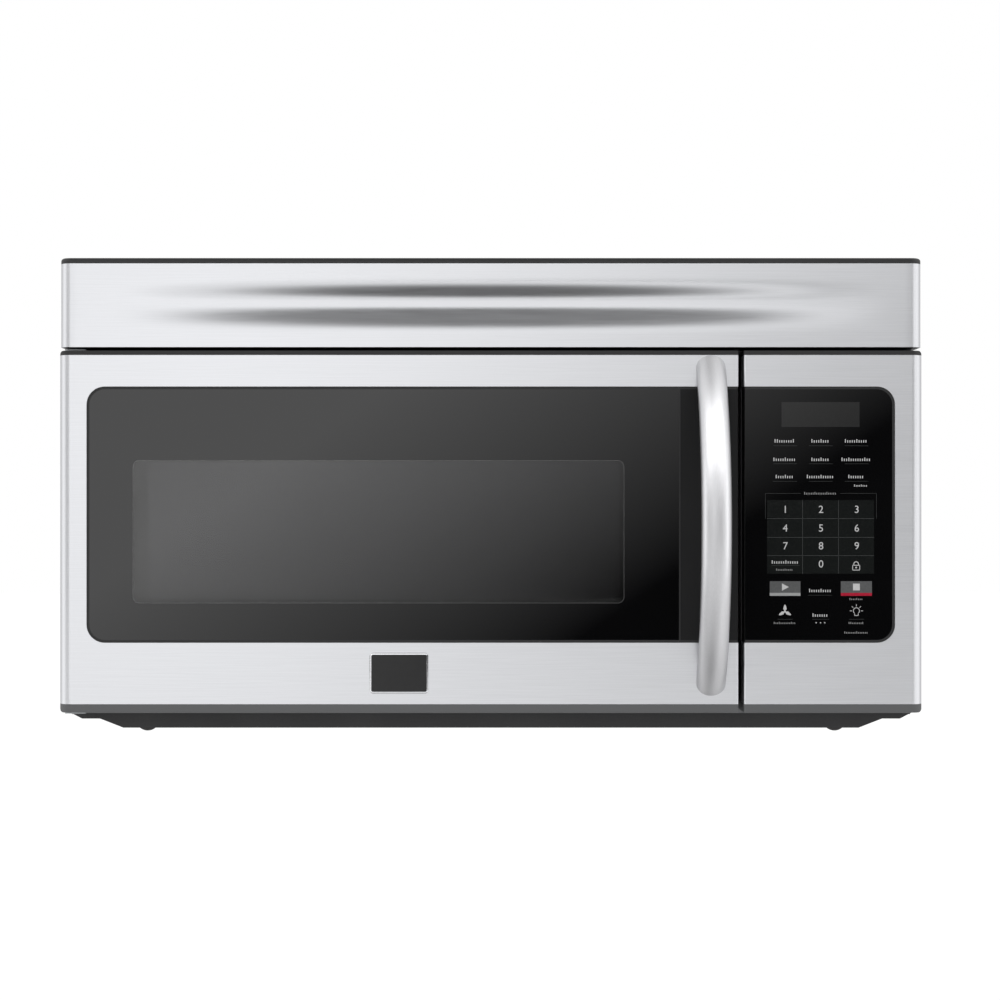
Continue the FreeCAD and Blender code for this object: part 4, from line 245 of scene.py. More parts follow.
def front_moulding(name):
    """Black ABS with a dark grey lip below the steel."""
    material = moulded_plastic(name, "101011", "151516", 0.5)
    tree = material.node_tree
    shader = tree.nodes["Principled BSDF"]
    black = shader.inputs["Base Color"].links[0].from_socket
    place = add(tree, "TexCoord", {}).outputs["Object"]
    height = add(tree, "SeparateXYZ", {"Vector": place}).outputs["Z"]
    lip = add(tree, "MapRange", {
        "Value": height, "From Min": steel_low, "From Max": steel_low - 0.5 * MM,
    }).outputs["Result"]
    tree.links.new(shades(tree, lip, black, "5A5B5C"), shader.inputs["Base Color"])
    return material


print("the lip starts at", round(steel_low / MM, 1), "mm")

# %% [markdown]
# Rubber, mica, charcoal and the printed board are matt, each with one mark of its own: dusty patches,
# split flakes, grains, and copper tracks under green lacquer.

# %% Rubber, mica, charcoal and the board


def soft_rubber(name):
    """Black rubber with a dusty bloom."""
    material, tree, shader, place = start(name, IOR=1.52, Roughness=0.8)
    bloom = spots(tree, place, 6.0, detail=4.0)
    dusty = shades(tree, between(tree, bloom, 0.0, 1.0), "1C1C1C", "2C2B2A")
    tree.links.new(dusty, shader.inputs["Base Color"])
    relief(tree, shader, bloom, 0.03, 0.4)
    return material


def pressed_mica(name):
    """Mica paper: thin pearly flakes pressed into a sheet."""
    material, tree, shader, place = start(name, IOR=1.56)
    flakes = add(tree, "TexVoronoi", {"Vector": place, "Scale": 1000 / 4.0})
    flake = add(tree, "SeparateColor", {"Color": flakes.outputs["Color"]}).outputs["Green"]
    tree.links.new(shades(tree, flake, "B9AE93", "D8D0BA"), shader.inputs["Base Color"])
    tree.links.new(between(tree, flake, 0.35, 0.55), shader.inputs["Roughness"])
    return material


def charcoal_grains(name, edge_hex):
    """Black carbon grains, about 2 mm across, that are lighter at their edges."""
    material, tree, shader, place = start(name, Roughness=0.9)
    grains = add(tree, "TexVoronoi", {"Vector": place, "Scale": 1000 / 2.0})
    grain = grains.outputs["Distance"]
    tree.links.new(shades(tree, grain, "161616", edge_hex), shader.inputs["Base Color"])
    relief(tree, shader, grain, 0.5, 0.8)
    return material


def printed_board(name):
    """Green lacquer over copper tracks that run square to each other, 2.5 mm apart."""
    material, tree, shader, place = start(name, IOR=1.5, Roughness=0.35)
    turned = add(tree, "Mapping", {"Vector": place, "Rotation": (math.pi / 2, 0, 0)}).outputs["Vector"]
    tracks = add(tree, "TexBrick", {
        "Vector": turned, "Scale": 1.0, "Mortar Size": 0.4 * MM, "Mortar Smooth": 0.2,
        "Brick Width": 12 * MM, "Row Height": 2.5 * MM,
    })
    tree.links.new(shades(tree, tracks.outputs["Fac"], "1F5A34", "3F8A55"), shader.inputs["Base Color"])
    relief(tree, shader, tracks.outputs["Fac"], 0.05, 0.5)
    return material


# %% [markdown]
# ## Glass
#
# The front is toughened glass printed black on its back, so it is a black mirror. Its gloss comes from
# the shader alone: IOR 1.5 and almost no roughness. A very faint film, as on wiped glass, keeps the
# gloss from being perfect. The tray and the bulbs are clear glass.

# %% Printed glass and clear glass
FILM_MM = 60.0  # patches of the film
FILM_GLOSS = (0.015, 0.035)  # roughness in and out of a patch
BLACK_PRINT = ("0A0A0B", "0C0C0D")


def printed_glass(name):
    """Toughened glass with black print on its back."""
    material, tree, shader, place = start(name, IOR=1.5)
    film = spots(tree, place, FILM_MM, (2, 1, 1))
    tree.links.new(shades(tree, between(tree, film, 0.0, 1.0), *BLACK_PRINT), shader.inputs["Base Color"])
    tree.links.new(between(tree, film, *FILM_GLOSS), shader.inputs["Roughness"])
    return material


def clear_glass(name, tint, roughness):
    """Pressed clear glass, with the faint ripple of its mould."""
    material, tree, shader, place = start(name, IOR=1.5, Transmission_Weight=1.0)
    ripple = spots(tree, place, 14.0)
    tree.links.new(shades(tree, between(tree, ripple, 0.0, 1.0), tint, "FFFFFF"), shader.inputs["Base Color"])
    tree.links.new(between(tree, ripple, roughness, roughness + 0.04), shader.inputs["Roughness"])
    relief(tree, shader, ripple, 0.08, 0.4)
    return material


# %% [markdown]
# The door glass is two things in one sheet: black print all round, and a clear smoked window with
# rounded corners in the middle. A mask made from each point's distance to the window's outline parts
# them. The window's place comes from the CAD screen behind it.

# %% The mask of the window
screen_low, screen_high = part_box("door_screen")
SCREEN_LAP = 14.0 * MM  # the print covers the screen's edge by this much
WINDOW_ROUND = 5.5 * MM
window_middle = (screen_low + screen_high) / 2
window_half = (screen_high - screen_low) / 2 - Vector((SCREEN_LAP, 0, SCREEN_LAP))
print("window, mm:", [round(2 * window_half[i] / MM, 1) for i in (0, 2)])


def window_mask(tree, place, edge_mm=0.4):
    """1 inside the window with its rounded corners, 0 outside it."""
    moved = add(tree, "VectorMath", {0: place, 1: window_middle}, operation="SUBTRACT").outputs[0]
    size = add(tree, "VectorMath", {0: moved}, operation="ABSOLUTE").outputs[0]
    core = window_half - Vector((WINDOW_ROUND, 0, WINDOW_ROUND))
    over = add(tree, "VectorMath", {0: size, 1: core}, operation="SUBTRACT").outputs[0]
    past = add(tree, "VectorMath", {0: over, 1: (0, 0, 0)}, operation="MAXIMUM").outputs[0]
    flat = add(tree, "VectorMath", {0: past, 1: (1, 0, 1)}, operation="MULTIPLY").outputs[0]
    reach = add(tree, "VectorMath", {0: flat}, operation="LENGTH").outputs["Value"]
    half_edge = edge_mm * MM / 2
    return add(tree, "MapRange", {
        "Value": reach, "From Min": WINDOW_ROUND - half_edge, "From Max": WINDOW_ROUND + half_edge,
        "To Min": 1.0, "To Max": 0.0,
    }).outputs["Result"]


# %% [markdown]
# Behind the glass lies a steel sheet pierced with round holes, 2.2 mm apart, which keeps the microwaves in
# and lets the eye through. Cutting thousands of holes would cost far more faces than the picture needs, so
# the pattern is drawn: each point's place is wrapped into one cell, and its distance to the middle of the
# cell says whether it is in a hole. Both the paint and the holes are nearly black from outside.

# %% The door glass and the screen behind it
HOLE_PITCH_MM = 2.2
HOLE_INNER, HOLE_OUTER = 0.28, 0.36  # the soft edge of a hole, as shares of the pitch


def smoked_window_glass(name):
    """The door's sheet: black print with a smoked clear window."""
    material, tree, shader, place = start(name, IOR=1.5)
    mask = window_mask(tree, place)
    film = spots(tree, place, FILM_MM, (2, 1, 1))
    black = shades(tree, between(tree, film, 0.0, 1.0), *BLACK_PRINT)
    tree.links.new(shades(tree, mask, black, "BEBEBE"), shader.inputs["Base Color"])
    tree.links.new(between(tree, film, *FILM_GLOSS), shader.inputs["Roughness"])
    tree.links.new(mask, shader.inputs["Transmission Weight"])
    return material


def pierced_screen(name, sheet_hex, hole_hex, roughness):
    """Black baked paint on a steel sheet pierced with rows of round holes."""
    material, tree, shader, place = start(name, Metallic=1.0)
    scaled = add(tree, "VectorMath", {0: place, "Scale": 1000 / HOLE_PITCH_MM}, operation="SCALE").outputs[0]
    flat = add(tree, "VectorMath", {0: scaled, 1: (1, 0, 1)}, operation="MULTIPLY").outputs[0]
    wrapped = add(tree, "VectorMath", {0: flat}, operation="FRACTION").outputs[0]
    centred = add(tree, "VectorMath", {0: wrapped, 1: (0.5, 0.0, 0.5)}, operation="SUBTRACT").outputs[0]
    far = add(tree, "VectorMath", {0: centred}, operation="LENGTH").outputs["Value"]
    sheet = add(tree, "MapRange", {
        "Value": far, "From Min": HOLE_INNER, "From Max": HOLE_OUTER,
    }).outputs["Result"]
    tree.links.new(shades(tree, sheet, hole_hex, sheet_hex), shader.inputs["Base Color"])
    worn = between(tree, spots(tree, place, 3.0), roughness - 0.03, roughness + 0.03)
    tree.links.new(worn, shader.inputs["Roughness"])
    return material


print("holes are", round(2 * HOLE_OUTER * HOLE_PITCH_MM, 1), "mm wide")

# %% [markdown]
# ## Give every CAD part its finish
#
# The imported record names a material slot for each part. One table turns slot names into finishes.

# %% Finishes by slot
finishes = {
    "stainless": satin_stainless("satin_stainless", "D5D6D9", "DFE0E3", 0.33),
    "handle_steel": satin_stainless("satin_handle", "B0B0B2", "BABABC", 0.38, (1, 1, 60), 0.8),
    "front_glass": printed_glass("black_printed_glass"),
    "front_moulding": front_moulding("black_and_grey_abs"),
    "vent_moulding": moulded_plastic("black_abs", "171717", "1E1E1F", 0.45),
    "handle_strip": moulded_plastic("satin_black_abs", "141415", "181819", 0.6, 0.004, 0.2),
    "badge_plate": plated_metal("bright_chrome", "C8C9CC", "E4E4E6", 0.12),
    "case_paint": powder_paint("dark_powder_paint", "2B2B2C", "333334", 0.8, 0.05, 0.55),
    "zinc_steel": galvanised_sheet("galvanised_sheet", "A3A6A8", "BCBFC1"),
    "oven_enamel": powder_paint("speckled_oven_paint", "BDBAB2", "C9C6BF", 0.5, 0.01, 0.32),
    "door_panel_paint": pierced_screen("pierced_black_steel", "3E3E41", "0C0C0D", 0.09),
    "door_film": clear_glass("clear_film", "E8E8E8", 0.05),
    "black_plastic": moulded_plastic("black_nylon", "1B1B1C", "242425", 0.5),
    "plunger_plastic": moulded_plastic("red_acetal", "8E1D16", "A3241B", 0.35, 0.005),
    "screw_steel": plated_metal("zinc_screws", "9FA1A3", "C6C7C8", 0.3),
    "black_screw": plated_metal("black_oxide", "232323", "343434", 0.4),
    "spring_steel": plated_metal("spring_wire", "8E8F91", "B4B5B6", 0.25, 0.5),
    "foot_rubber": soft_rubber("soft_rubber"),
    "mica": pressed_mica("pressed_mica"),
    "tube_metal": plated_metal("plated_yoke", "A8AAAC", "C4C6C8", 0.35, 3.0),
    "core_steel": plated_metal("varnished_core", "4A2E1C", "7A4A2A", 0.4, 1.5, (40, 1, 1)),
    "can_aluminium": plated_metal("drawn_aluminium", "B5B6B8", "D0D1D2", 0.3, 1.0, (1, 1, 30)),
    "motor_steel": plated_metal("motor_shell", "8A8C8E", "A8AAAC", 0.35, 2.0),
    "drive_plastic": moulded_plastic("white_ppo", "C9C8C3", "D6D5D0", 0.45),
    "tray_glass": clear_glass("pressed_tray_glass", "E6F0EC", 0.02),
    "blower_plastic": moulded_plastic("wheel_polypropylene", "2A2A2B", "343436", 0.5),
    "filter_mesh": plated_metal("expanded_aluminium", "B4B6B8", "D2D3D5", 0.35, 2.0),
    "charcoal": charcoal_grains("charcoal_cells", "3A3733"),
    "lens": clear_glass("frosted_lens", "F2F1EA", 0.45),
    "lamp_glass": clear_glass("bulb_glass", "F6F2E4", 0.12),
    "board": printed_board("printed_board"),
}
for part in frame["record"]["subparts"]:
    node = frame["nodes"][part["node"]]
    for place_on_node in node.material_slots:
        place_on_node.material = finishes[part["material_slot"]]
own_finishes = {
    "door_glass": smoked_window_glass("smoked_window_glass"),
    "front_plate": powder_paint("grey_baked_paint", "77787A", "808183", 0.6, 0.02, 0.4),
}
for name, finish in own_finishes.items():
    for place_on_node in frame["nodes"][name].material_slots:
        place_on_node.material = finish
print(len(finishes) + len(own_finishes), "finishes on", len(frame["nodes"]), "parts")

# %% [markdown]
# ## New pieces
#
# A finished piece becomes an object at the origin with its place in its mesh, as the CAD parts have.
# Faces that meet at less than 35 degrees are shaded as one smooth surface.

# %% From bmesh to a piece
SMOOTH_UNDER = math.radians(35)


def piece(bm, name, body, slot, material, *stands_for):
    """Makes an object from a bmesh on the body it rides on, and hides the CAD parts it replaces. The slot is
    not used.
    """
    bmesh.ops.recalc_face_normals(bm, faces=bm.faces)
    for face in bm.faces:
        face.smooth = True
    for edge in bm.edges:
        edge.smooth = not (edge.is_manifold and edge.calc_face_angle() > SMOOTH_UNDER)
    mesh = bpy.data.meshes.new(name)
    bm.to_mesh(mesh)
    bm.free()
    mesh.materials.append(material)
    made = bpy.data.objects.new(name, mesh)
    bpy.context.scene.collection.objects.link(made)
    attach(made, body)
    if stands_for:
        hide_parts(*stands_for)
    print(name, "has", sum(len(f.vertices) - 2 for f in mesh.polygons), "triangles")
    return made


# %% [markdown]
# ## The vent panel's steel
#
# One sheet, turned back round both ends, with a long shallow valley pressed into it. A row of points is
# drawn along the sheet's plan and pushed up in fine steps, and each point then sinks by the depth of the
# valley where it is. Reflections show every flaw here, so the steps are fine.

# %% The plan of a turned sheet
vent_low, vent_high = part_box("vent_skin")
FRONT = vent_low.y
CORNER = 10.0 * MM
SHEET = 0.6 * MM
BEND_STEPS = 12


def sheet_plan(bm, x0, x1, y_front, y_back, radius, steps):
    """A row of points along a sheet's plan: from the back, round one corner, along the front and back."""
    row = [bmesh.ops.create_vert(bm, co=(x0, y_back, 0))["vert"][0]]

    def go(x, y, count=1):
        begin = row[-1].co.copy()
        for i in range(count):
            new = bmesh.ops.extrude_vert_indiv(bm, verts=[row[-1]])["verts"][0]
            new.co = begin.lerp(Vector((x, y, 0)), (i + 1) / count)
            row.append(new)

    def bend(x_centre):
        centre = Vector((x_centre, y_front + radius, 0))
        step = Matrix.Rotation(math.pi / 2 / BEND_STEPS, 3, "Z")
        for _ in range(BEND_STEPS):
            new = bmesh.ops.extrude_vert_indiv(bm, verts=[row[-1]])["verts"][0]
            bmesh.ops.rotate(bm, verts=[new], cent=centre, matrix=step)
            row.append(new)

    go(x0, y_front + radius, 2)
    bend(x0 + radius)
    go(x1 - radius, y_front, steps)
    bend(x1 - radius)
    go(x1, y_back, 2)


print("vent panel's steel, mm:", [round(v / MM, 1) for v in vent_high - vent_low])

# %% [markdown]
# The depth at a point is a product of two curves. Across the valley it is full on the floor and falls in
# a hollow curve to nothing at the end of each flank. Along the valley it fades before the panel's ends.

# %% The valley
VALLEY_DEEP, VALLEY_DOWN_FROM_TOP, VALLEY_FLOOR = 6.5 * MM, 34.1 * MM, 4.4 * MM
SPAN_UP, SPAN_DOWN = 23.0 * MM, 30.0 * MM  # height of the flank above the floor, and below it
HOLLOW, FADE = 5, 1.5  # powers: how hollow the flanks are, and how the valley fades along its length
FADED = 0.92  # where it has faded out, as a share of the half width
ALONG_STEPS, UP_STEPS = 120, 62
half_vent = (vent_high.x - vent_low.x) / 2


def valley_depth(x, z):
    """How far the steel lies back at a point of the vent panel."""
    up = z - (vent_high.z - VALLEY_DOWN_FROM_TOP)
    flank = max(abs(up) - VALLEY_FLOOR / 2, 0) / (SPAN_UP if up > 0 else SPAN_DOWN)
    along = max(1 - (x / half_vent / FADED) ** 2, 0) ** FADE
    return VALLEY_DEEP * max(1 - flank**2, 0) ** HOLLOW * along


def rise(bm, low, high, steps):
    """Pushes every edge of a plan up to a height, in steps."""
    bmesh.ops.translate(bm, verts=bm.verts, vec=(0, 0, low))
    edges = bm.edges[:]
    for _ in range(steps):
        made = bmesh.ops.extrude_edge_only(bm, edges=edges)["geom"]
        new = {g for g in made if isinstance(g, bmesh.types.BMVert)}
        edges = [g for g in made if isinstance(g, bmesh.types.BMEdge) and new.issuperset(g.verts)]
        bmesh.ops.translate(bm, verts=list(new), vec=(0, 0, (high - low) / steps))


sheet = bmesh.new()
sheet_plan(sheet, vent_low.x, vent_high.x, FRONT, vent_high.y, CORNER, ALONG_STEPS)
rise(sheet, vent_low.z, vent_high.z, UP_STEPS)
for vert in sheet.verts:
    if abs(vert.co.y - FRONT) < 1e-6:
        vert.co.y += valley_depth(vert.co.x, vert.co.z)
bmesh.ops.recalc_face_normals(sheet, faces=sheet.faces)
if sum(f.normal.y for f in sheet.faces) > 0:
    bmesh.ops.reverse_faces(sheet, faces=sheet.faces)
bmesh.ops.solidify(sheet, geom=sheet.faces[:], thickness=SHEET)
vent_sheet = piece(sheet, "vent_sheet", "case", "stainless", finishes["stainless"], "vent_skin")
for axis, name in enumerate("xyz"):
    reach = [vert.co[axis] / MM for vert in vent_sheet.data.vertices]
    print("vent sheet,", name, "from", round(min(reach), 2), "to", round(max(reach), 2), "mm")

# %% [markdown]
# ## The badge
#
# A small plate on the lower band: a bright rim round a black face, with nothing on the face. A box gets
# rounded corners by a bevel of its four edges that run into the door. Its front is inset for the rim, and
# the inner face is inset once more and pushed in. A small bevel on the rim catches the light.

# %% Badge
badge_low, badge_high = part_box("badge")
BADGE_CORNER, BADGE_EDGE = 3.0 * MM, 0.35 * MM
RIM_WIDE, RIM_SLOPE, FACE_SUNK = 1.15 * MM, 0.2 * MM, 0.45 * MM


def block(bm, low, high):
    """A box between two corners."""
    made = bmesh.ops.create_cube(bm, size=1)["verts"]
    bmesh.ops.scale(bm, verts=made, vec=Vector(high) - Vector(low))
    bmesh.ops.translate(bm, verts=made, vec=(Vector(low) + Vector(high)) / 2)


def edges_along(bm, axis):
    """The edges of a bmesh that run along an axis."""
    return [e for e in bm.edges if abs((e.verts[0].co - e.verts[1].co).normalized()[axis]) > 0.999]


def bevel(bm, edges, width, segments):
    """Rounds edges."""
    bmesh.ops.bevel(bm, geom=edges, offset=width, offset_type="OFFSET", affect="EDGES",
                    segments=segments, profile=0.5, material=-1, clamp_overlap=True)


def front_face(bm):
    """The largest face that looks to the front."""
    return max((f for f in bm.faces if f.normal.y < -0.9), key=lambda f: f.calc_area())


plate = bmesh.new()
block(plate, badge_low, badge_high)
bevel(plate, edges_along(plate, 1), BADGE_CORNER, 6)
plate.normal_update()
face = front_face(plate)
bevel(plate, list(face.edges), BADGE_EDGE, 2)
plate.normal_update()
face = front_face(plate)
bmesh.ops.inset_individual(plate, faces=[face], thickness=RIM_WIDE, depth=0)
bmesh.ops.inset_individual(plate, faces=[face], thickness=RIM_SLOPE, depth=-FACE_SUNK)
face.material_index = 1
badge_plate = piece(plate, "badge_plate", "door", "badge_plate", finishes["badge_plate"], "badge")
badge_plate.data.materials.append(moulded_plastic("badge_enamel", "121213", "171718", 0.14, 0.001))

# %% [markdown]
# ## The grease filters
#
# Each filter is expanded aluminium in a folded frame. Expanded metal is a sheet that is slit and pulled,
# so its strands run in zigzags that join at every knot. One zigzag is made as a thin ribbon, and copies
# of it are laid side by side, every second one turned over, which makes diamonds. Real strands are finer
# and lie in several layers. Two layers, half a diamond apart, look as dense and stay light.

# %% One layer of expanded metal
STRAND, STRAND_THICK = 0.7 * MM, 0.5 * MM
DIAMOND_LONG, DIAMOND_WIDE = 8.0 * MM, 4.0 * MM


def zigzag(long, steps, swing):
    """One strand as a mesh: a row of points that swings to and fro, widened and given a thickness."""
    bm = bmesh.new()
    line = [bmesh.ops.create_vert(bm, co=(0, 0, 0))["vert"][0]]
    for step in range(steps):
        line += bmesh.ops.extrude_vert_indiv(bm, verts=[line[-1]])["verts"]
        line[-1].co = ((step + 1) * long / steps, ((step + 1) % 2) * swing, 0)
    ribbon = bmesh.ops.extrude_edge_only(bm, edges=bm.edges[:])["geom"]
    far_side = [g for g in ribbon if isinstance(g, bmesh.types.BMVert)]
    bmesh.ops.translate(bm, verts=far_side, vec=(0, STRAND, 0))
    bmesh.ops.solidify(bm, geom=bm.faces[:], thickness=STRAND_THICK)
    strand = bpy.data.meshes.new("strand")
    bm.to_mesh(strand)
    bm.free()
    return strand


def expanded_layer(bm, low, high, z, shift):
    """Strands from wall to wall, every second one turned over."""
    rows = round((high.y - low.y) / (DIAMOND_WIDE / 2))
    pitch = (high.y - low.y) / rows
    steps = round((high.x - low.x) / (DIAMOND_LONG / 2))
    strand = zigzag(high.x - low.x, steps, pitch - STRAND)
    for row in range(rows):
        turned = (row + shift) % 2
        y = low.y + (row + turned) * pitch
        place = Matrix.Translation((low.x, y, z)) @ Matrix.Diagonal((1, -1 if turned else 1, 1, 1))
        copy = strand.copy()
        copy.transform(place)
        bm.from_mesh(copy)
        bpy.data.meshes.remove(copy)
    bpy.data.meshes.remove(strand)


print("a diamond is", DIAMOND_LONG / MM, "by", DIAMOND_WIDE / MM, "mm")

# %% [markdown]
# The frame is a box with a window: its top and bottom faces are inset, and the two openings are bridged.
# The mesh runs a little way into the frame, so that no strand ends in the air.

# %% Both filters
FRAME_WIDE, FRAME_ROUND = 7.0 * MM, 0.6 * MM
MESH_IN_FRAME = 0.5 * MM
LAYER_HEIGHTS = (1.2 * MM, 2.9 * MM)


def filter_frame(bm, low, high):
    """A folded frame: a box whose top and bottom get a window, with the two windows bridged."""
    block(bm, low, high)
    bm.normal_update()
    rims = []
    for way in (-1, 1):
        flat = next(f for f in bm.faces if f.normal.z * way > 0.9)
        bmesh.ops.inset_individual(bm, faces=[flat], thickness=FRAME_WIDE, depth=0)
        rims += list(flat.edges)
        bmesh.ops.delete(bm, geom=[flat], context="FACES_ONLY")
    bmesh.ops.bridge_loops(bm, edges=rims)
    sharp = [e for e in bm.edges if len(e.link_faces) == 2 and e.calc_face_angle() > 1.0]
    bevel(bm, sharp, FRAME_ROUND, 2)


for side in ("left", "right"):
    filter_low, filter_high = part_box("grease_filter_" + side)
    mesh = bmesh.new()
    filter_frame(mesh, filter_low, filter_high)
    inner = (FRAME_WIDE - MESH_IN_FRAME) * Vector((1, 1, 0))
    for layer, height in enumerate(LAYER_HEIGHTS):
        expanded_layer(mesh, filter_low + inner, filter_high - inner, filter_low.z + height, layer)
    piece(mesh, "filter_mesh_" + side, "filter_" + side, "filter_mesh", finishes["filter_mesh"],
          "grease_filter_" + side)

# %% [markdown]
# ## The lamp lenses
#
# A cooktop lamp shines through a pressed acrylic lens. Fine ribs on its face spread the light and hide the
# bulb. A grid with many rows gets the ribs as a wave across it, and pulling it up makes the solid. The
# flange over it, which rests on the pan, is a plain slab.

# %% Ribbed lenses
lens_low, lens_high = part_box("lamp_lenses")
LENS_LONG, LENS_LAP = 84.0 * MM, 5.0 * MM
LENS_FLOOR = 1.0 * MM  # the pan's sheet, which the flange lies on
RIB, RIB_STEPS, RIB_SWING = 3.0 * MM, 8, 0.25 * MM


def ribbed_lens(bm, low, high):
    """The part of a lens that shows: ribs along it, and sides that go up to the flange."""
    ribs = round((high.y - low.y) / RIB)
    made = bmesh.ops.create_grid(bm, x_segments=1, y_segments=RIB_STEPS * ribs, size=0.5)["verts"]
    bmesh.ops.scale(bm, verts=made, vec=(high.x - low.x, high.y - low.y, 1))
    bmesh.ops.translate(bm, verts=made, vec=((low.x + high.x) / 2, (low.y + high.y) / 2, low.z))
    for vert in made:
        wave = math.cos(math.tau * ribs * (vert.co.y - low.y) / (high.y - low.y))
        vert.co.z += RIB_SWING * (1 - wave)
    faces = list({face for vert in made for face in vert.link_faces})
    raised = bmesh.ops.extrude_face_region(bm, geom=faces, use_keep_orig=True)["geom"]
    for vert in (g for g in raised if isinstance(g, bmesh.types.BMVert)):
        vert.co.z = high.z


lenses = bmesh.new()
for x0 in (lens_low.x, lens_high.x - LENS_LONG - 2 * LENS_LAP):
    slab_low = Vector((x0, lens_low.y, lens_low.z + LENS_FLOOR))
    slab_high = Vector((x0 + LENS_LONG + 2 * LENS_LAP, lens_high.y, lens_high.z))
    block(lenses, slab_low, slab_high)
    lap = Vector((LENS_LAP, LENS_LAP, 0))
    face_low = Vector((slab_low.x, slab_low.y, lens_low.z)) + lap
    face_high = Vector((slab_high.x, slab_high.y, slab_low.z)) - lap
    ribbed_lens(lenses, face_low, face_high)
piece(lenses, "ribbed_lenses", "case", "lens", finishes["lens"], "lamp_lenses")

# %% [markdown]
# ## The keypad's print
#
# The keys are places on the glass, not parts that move: print alone shows them. It is white and grey, on
# a few dark fields, with one red edge. A screen printer lays it a few hundredths of a millimetre thick,
# so each figure is a flat sheet that stands 0.05 mm off the glass. The key names are left as rows of
# small plain marks. All places are in mm: across from the oven's middle, and up from its underside.

# %% Tools for print on the glass
glass_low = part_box("control_glass")[0]
PRINT_Y = glass_low.y - 0.05 * MM
print_sheets = {}


def ink(colour):
    """The bmesh that gathers all print of one colour."""
    if colour not in print_sheets:
        print_sheets[colour] = bmesh.new()
    return print_sheets[colour]


def outline(colour, points, lift=0.0):
    """A flat figure from its corners."""
    bm, y = ink(colour), PRINT_Y - lift * MM
    corners = [bmesh.ops.create_vert(bm, co=(x * MM, y, z * MM))["vert"][0] for x, z in points]
    bmesh.ops.contextual_create(bm, geom=corners)


def bar(colour, x0, x1, z0, z1, lift=0.0):
    """A flat bar."""
    outline(colour, [(x0, z0), (x1, z0), (x1, z1), (x0, z1)], lift)


def disc(colour, x, z, radius, sides):
    """A flat dot."""
    bm = ink(colour)
    made = bmesh.ops.create_circle(bm, cap_ends=True, segments=sides, radius=radius * MM)["verts"]
    bmesh.ops.rotate(bm, verts=made, cent=(0, 0, 0), matrix=Matrix.Rotation(math.pi / 2, 3, "X"))
    bmesh.ops.translate(bm, verts=made, vec=(x * MM, PRINT_Y, z * MM))


def marks(colour, x, z, long, tall=3.0):
    """A row of small plain marks in place of a key's name: tall and low ones, as letters are."""
    pitch = 2.0 if tall > 2.5 else 1.5
    count = max(2, round(long / pitch))
    for i in range(count):
        high = tall * (1.0 if i == 0 or (i * 5 + count) % 7 == 0 else 0.7)
        x0 = x + (i - count / 2) * pitch
        bar(colour, x0, x0 + 0.42 * pitch, z - tall / 2, z - tall / 2 + high)


print("the print stands", round((glass_low.y - PRINT_Y) / MM, 2), "mm off the glass")

# %% [markdown]
# The upper keys are names over fine lines. Under them comes a dark field with the number keys, parted by
# lines, in a frame that is open where a name stands. The lines stay thin and grey, so they hardly show.

# %% Key names, and the number keys' field
KEY_COLUMNS = (258.1, 289.45, 320.85)  # middles of the three columns
NAME_ROWS = (  # height of the names, height of the line under them, and how long each name is
    (260.8, 256.5, (18.5, 15.0, 19.5)),
    (244.6, 240.7, (20.5, 16.0, 26.0)),
    (229.5, 225.3, (15.0, 24.0, 13.5)),
)
for z_name, z_line, longs in NAME_ROWS:
    for x, long in zip(KEY_COLUMNS, longs):
        marks("white", x, z_name, long)
        bar("line", x - 10.2, x + 10.6, z_line - 0.12, z_line + 0.12)
marks("white", 324.9, 221.6, 12.5, 1.9)

FIELD_LEFT, FIELD_RIGHT, FIELD_LOW, FIELD_HIGH = 242.55, 336.35, 144.25, 208.8
COLUMN_LINES, ROW_LINES = (273.65, 305.15), (192.6, 176.1, 160.1)
bar("panel", FIELD_LEFT, FIELD_RIGHT, FIELD_LOW, FIELD_HIGH, -0.03)
for x in COLUMN_LINES:
    bar("line", x - 0.2, x + 0.2, FIELD_LOW, FIELD_HIGH)
for z in ROW_LINES:
    bar("line", FIELD_LEFT, FIELD_RIGHT, z - 0.2, z + 0.2)

FRAME_LEFT, FRAME_RIGHT, FRAME_TOP, HAIR = 240.9, 338.6, 214.85, 0.25
for x0, x1 in ((FRAME_LEFT, 272.1), (306.6, FRAME_RIGHT)):
    bar("line", x0, x1, FRAME_TOP - HAIR, FRAME_TOP)
for x in (FRAME_LEFT, FRAME_RIGHT - HAIR):
    bar("line", x, x + HAIR, ROW_LINES[0], FRAME_TOP)
marks("grey", 289.4, 214.8, 29.0, 2.2)
print(3 * len(NAME_ROWS), "named keys")

# %% [markdown]
# The figures come from the built-in font: each is a text curve that becomes a mesh, is turned upright and
# is put in its key.

# %% Figures on the number keys
FIGURE_TALL, FIGURE_ASIDE = 9.2 * MM, 0.4 * MM
DIGIT_ROWS = (200.35, 183.95, 168.35, 152.45)
digits = [(str(3 * r + c + 1), KEY_COLUMNS[c], DIGIT_ROWS[r]) for r in range(3) for c in range(3)]
digits.append(("0", KEY_COLUMNS[1], DIGIT_ROWS[3]))
for figure, x, z in digits:
    curve = bpy.data.curves.new("figure", "FONT")
    curve.body, curve.align_x, curve.align_y, curve.size = figure, "CENTER", "CENTER", FIGURE_TALL
    curve.resolution_u = 3
    shape = bpy.data.objects.new("figure", curve)
    flat = bpy.data.meshes.new_from_object(shape)
    key_place = Matrix.Translation((x * MM + FIGURE_ASIDE, PRINT_Y, z * MM))
    flat.transform(key_place @ Matrix.Rotation(math.pi / 2, 4, "X"))
    ink("white").from_mesh(flat)
    bpy.data.objects.remove(shape)
    bpy.data.meshes.remove(flat)
    bpy.data.curves.remove(curve)
print(len(digits), "figures on the number keys")

# %% [markdown]
# The lock, fan and lamp keys get simple signs. Each sign is drawn about its own middle, in strokes.

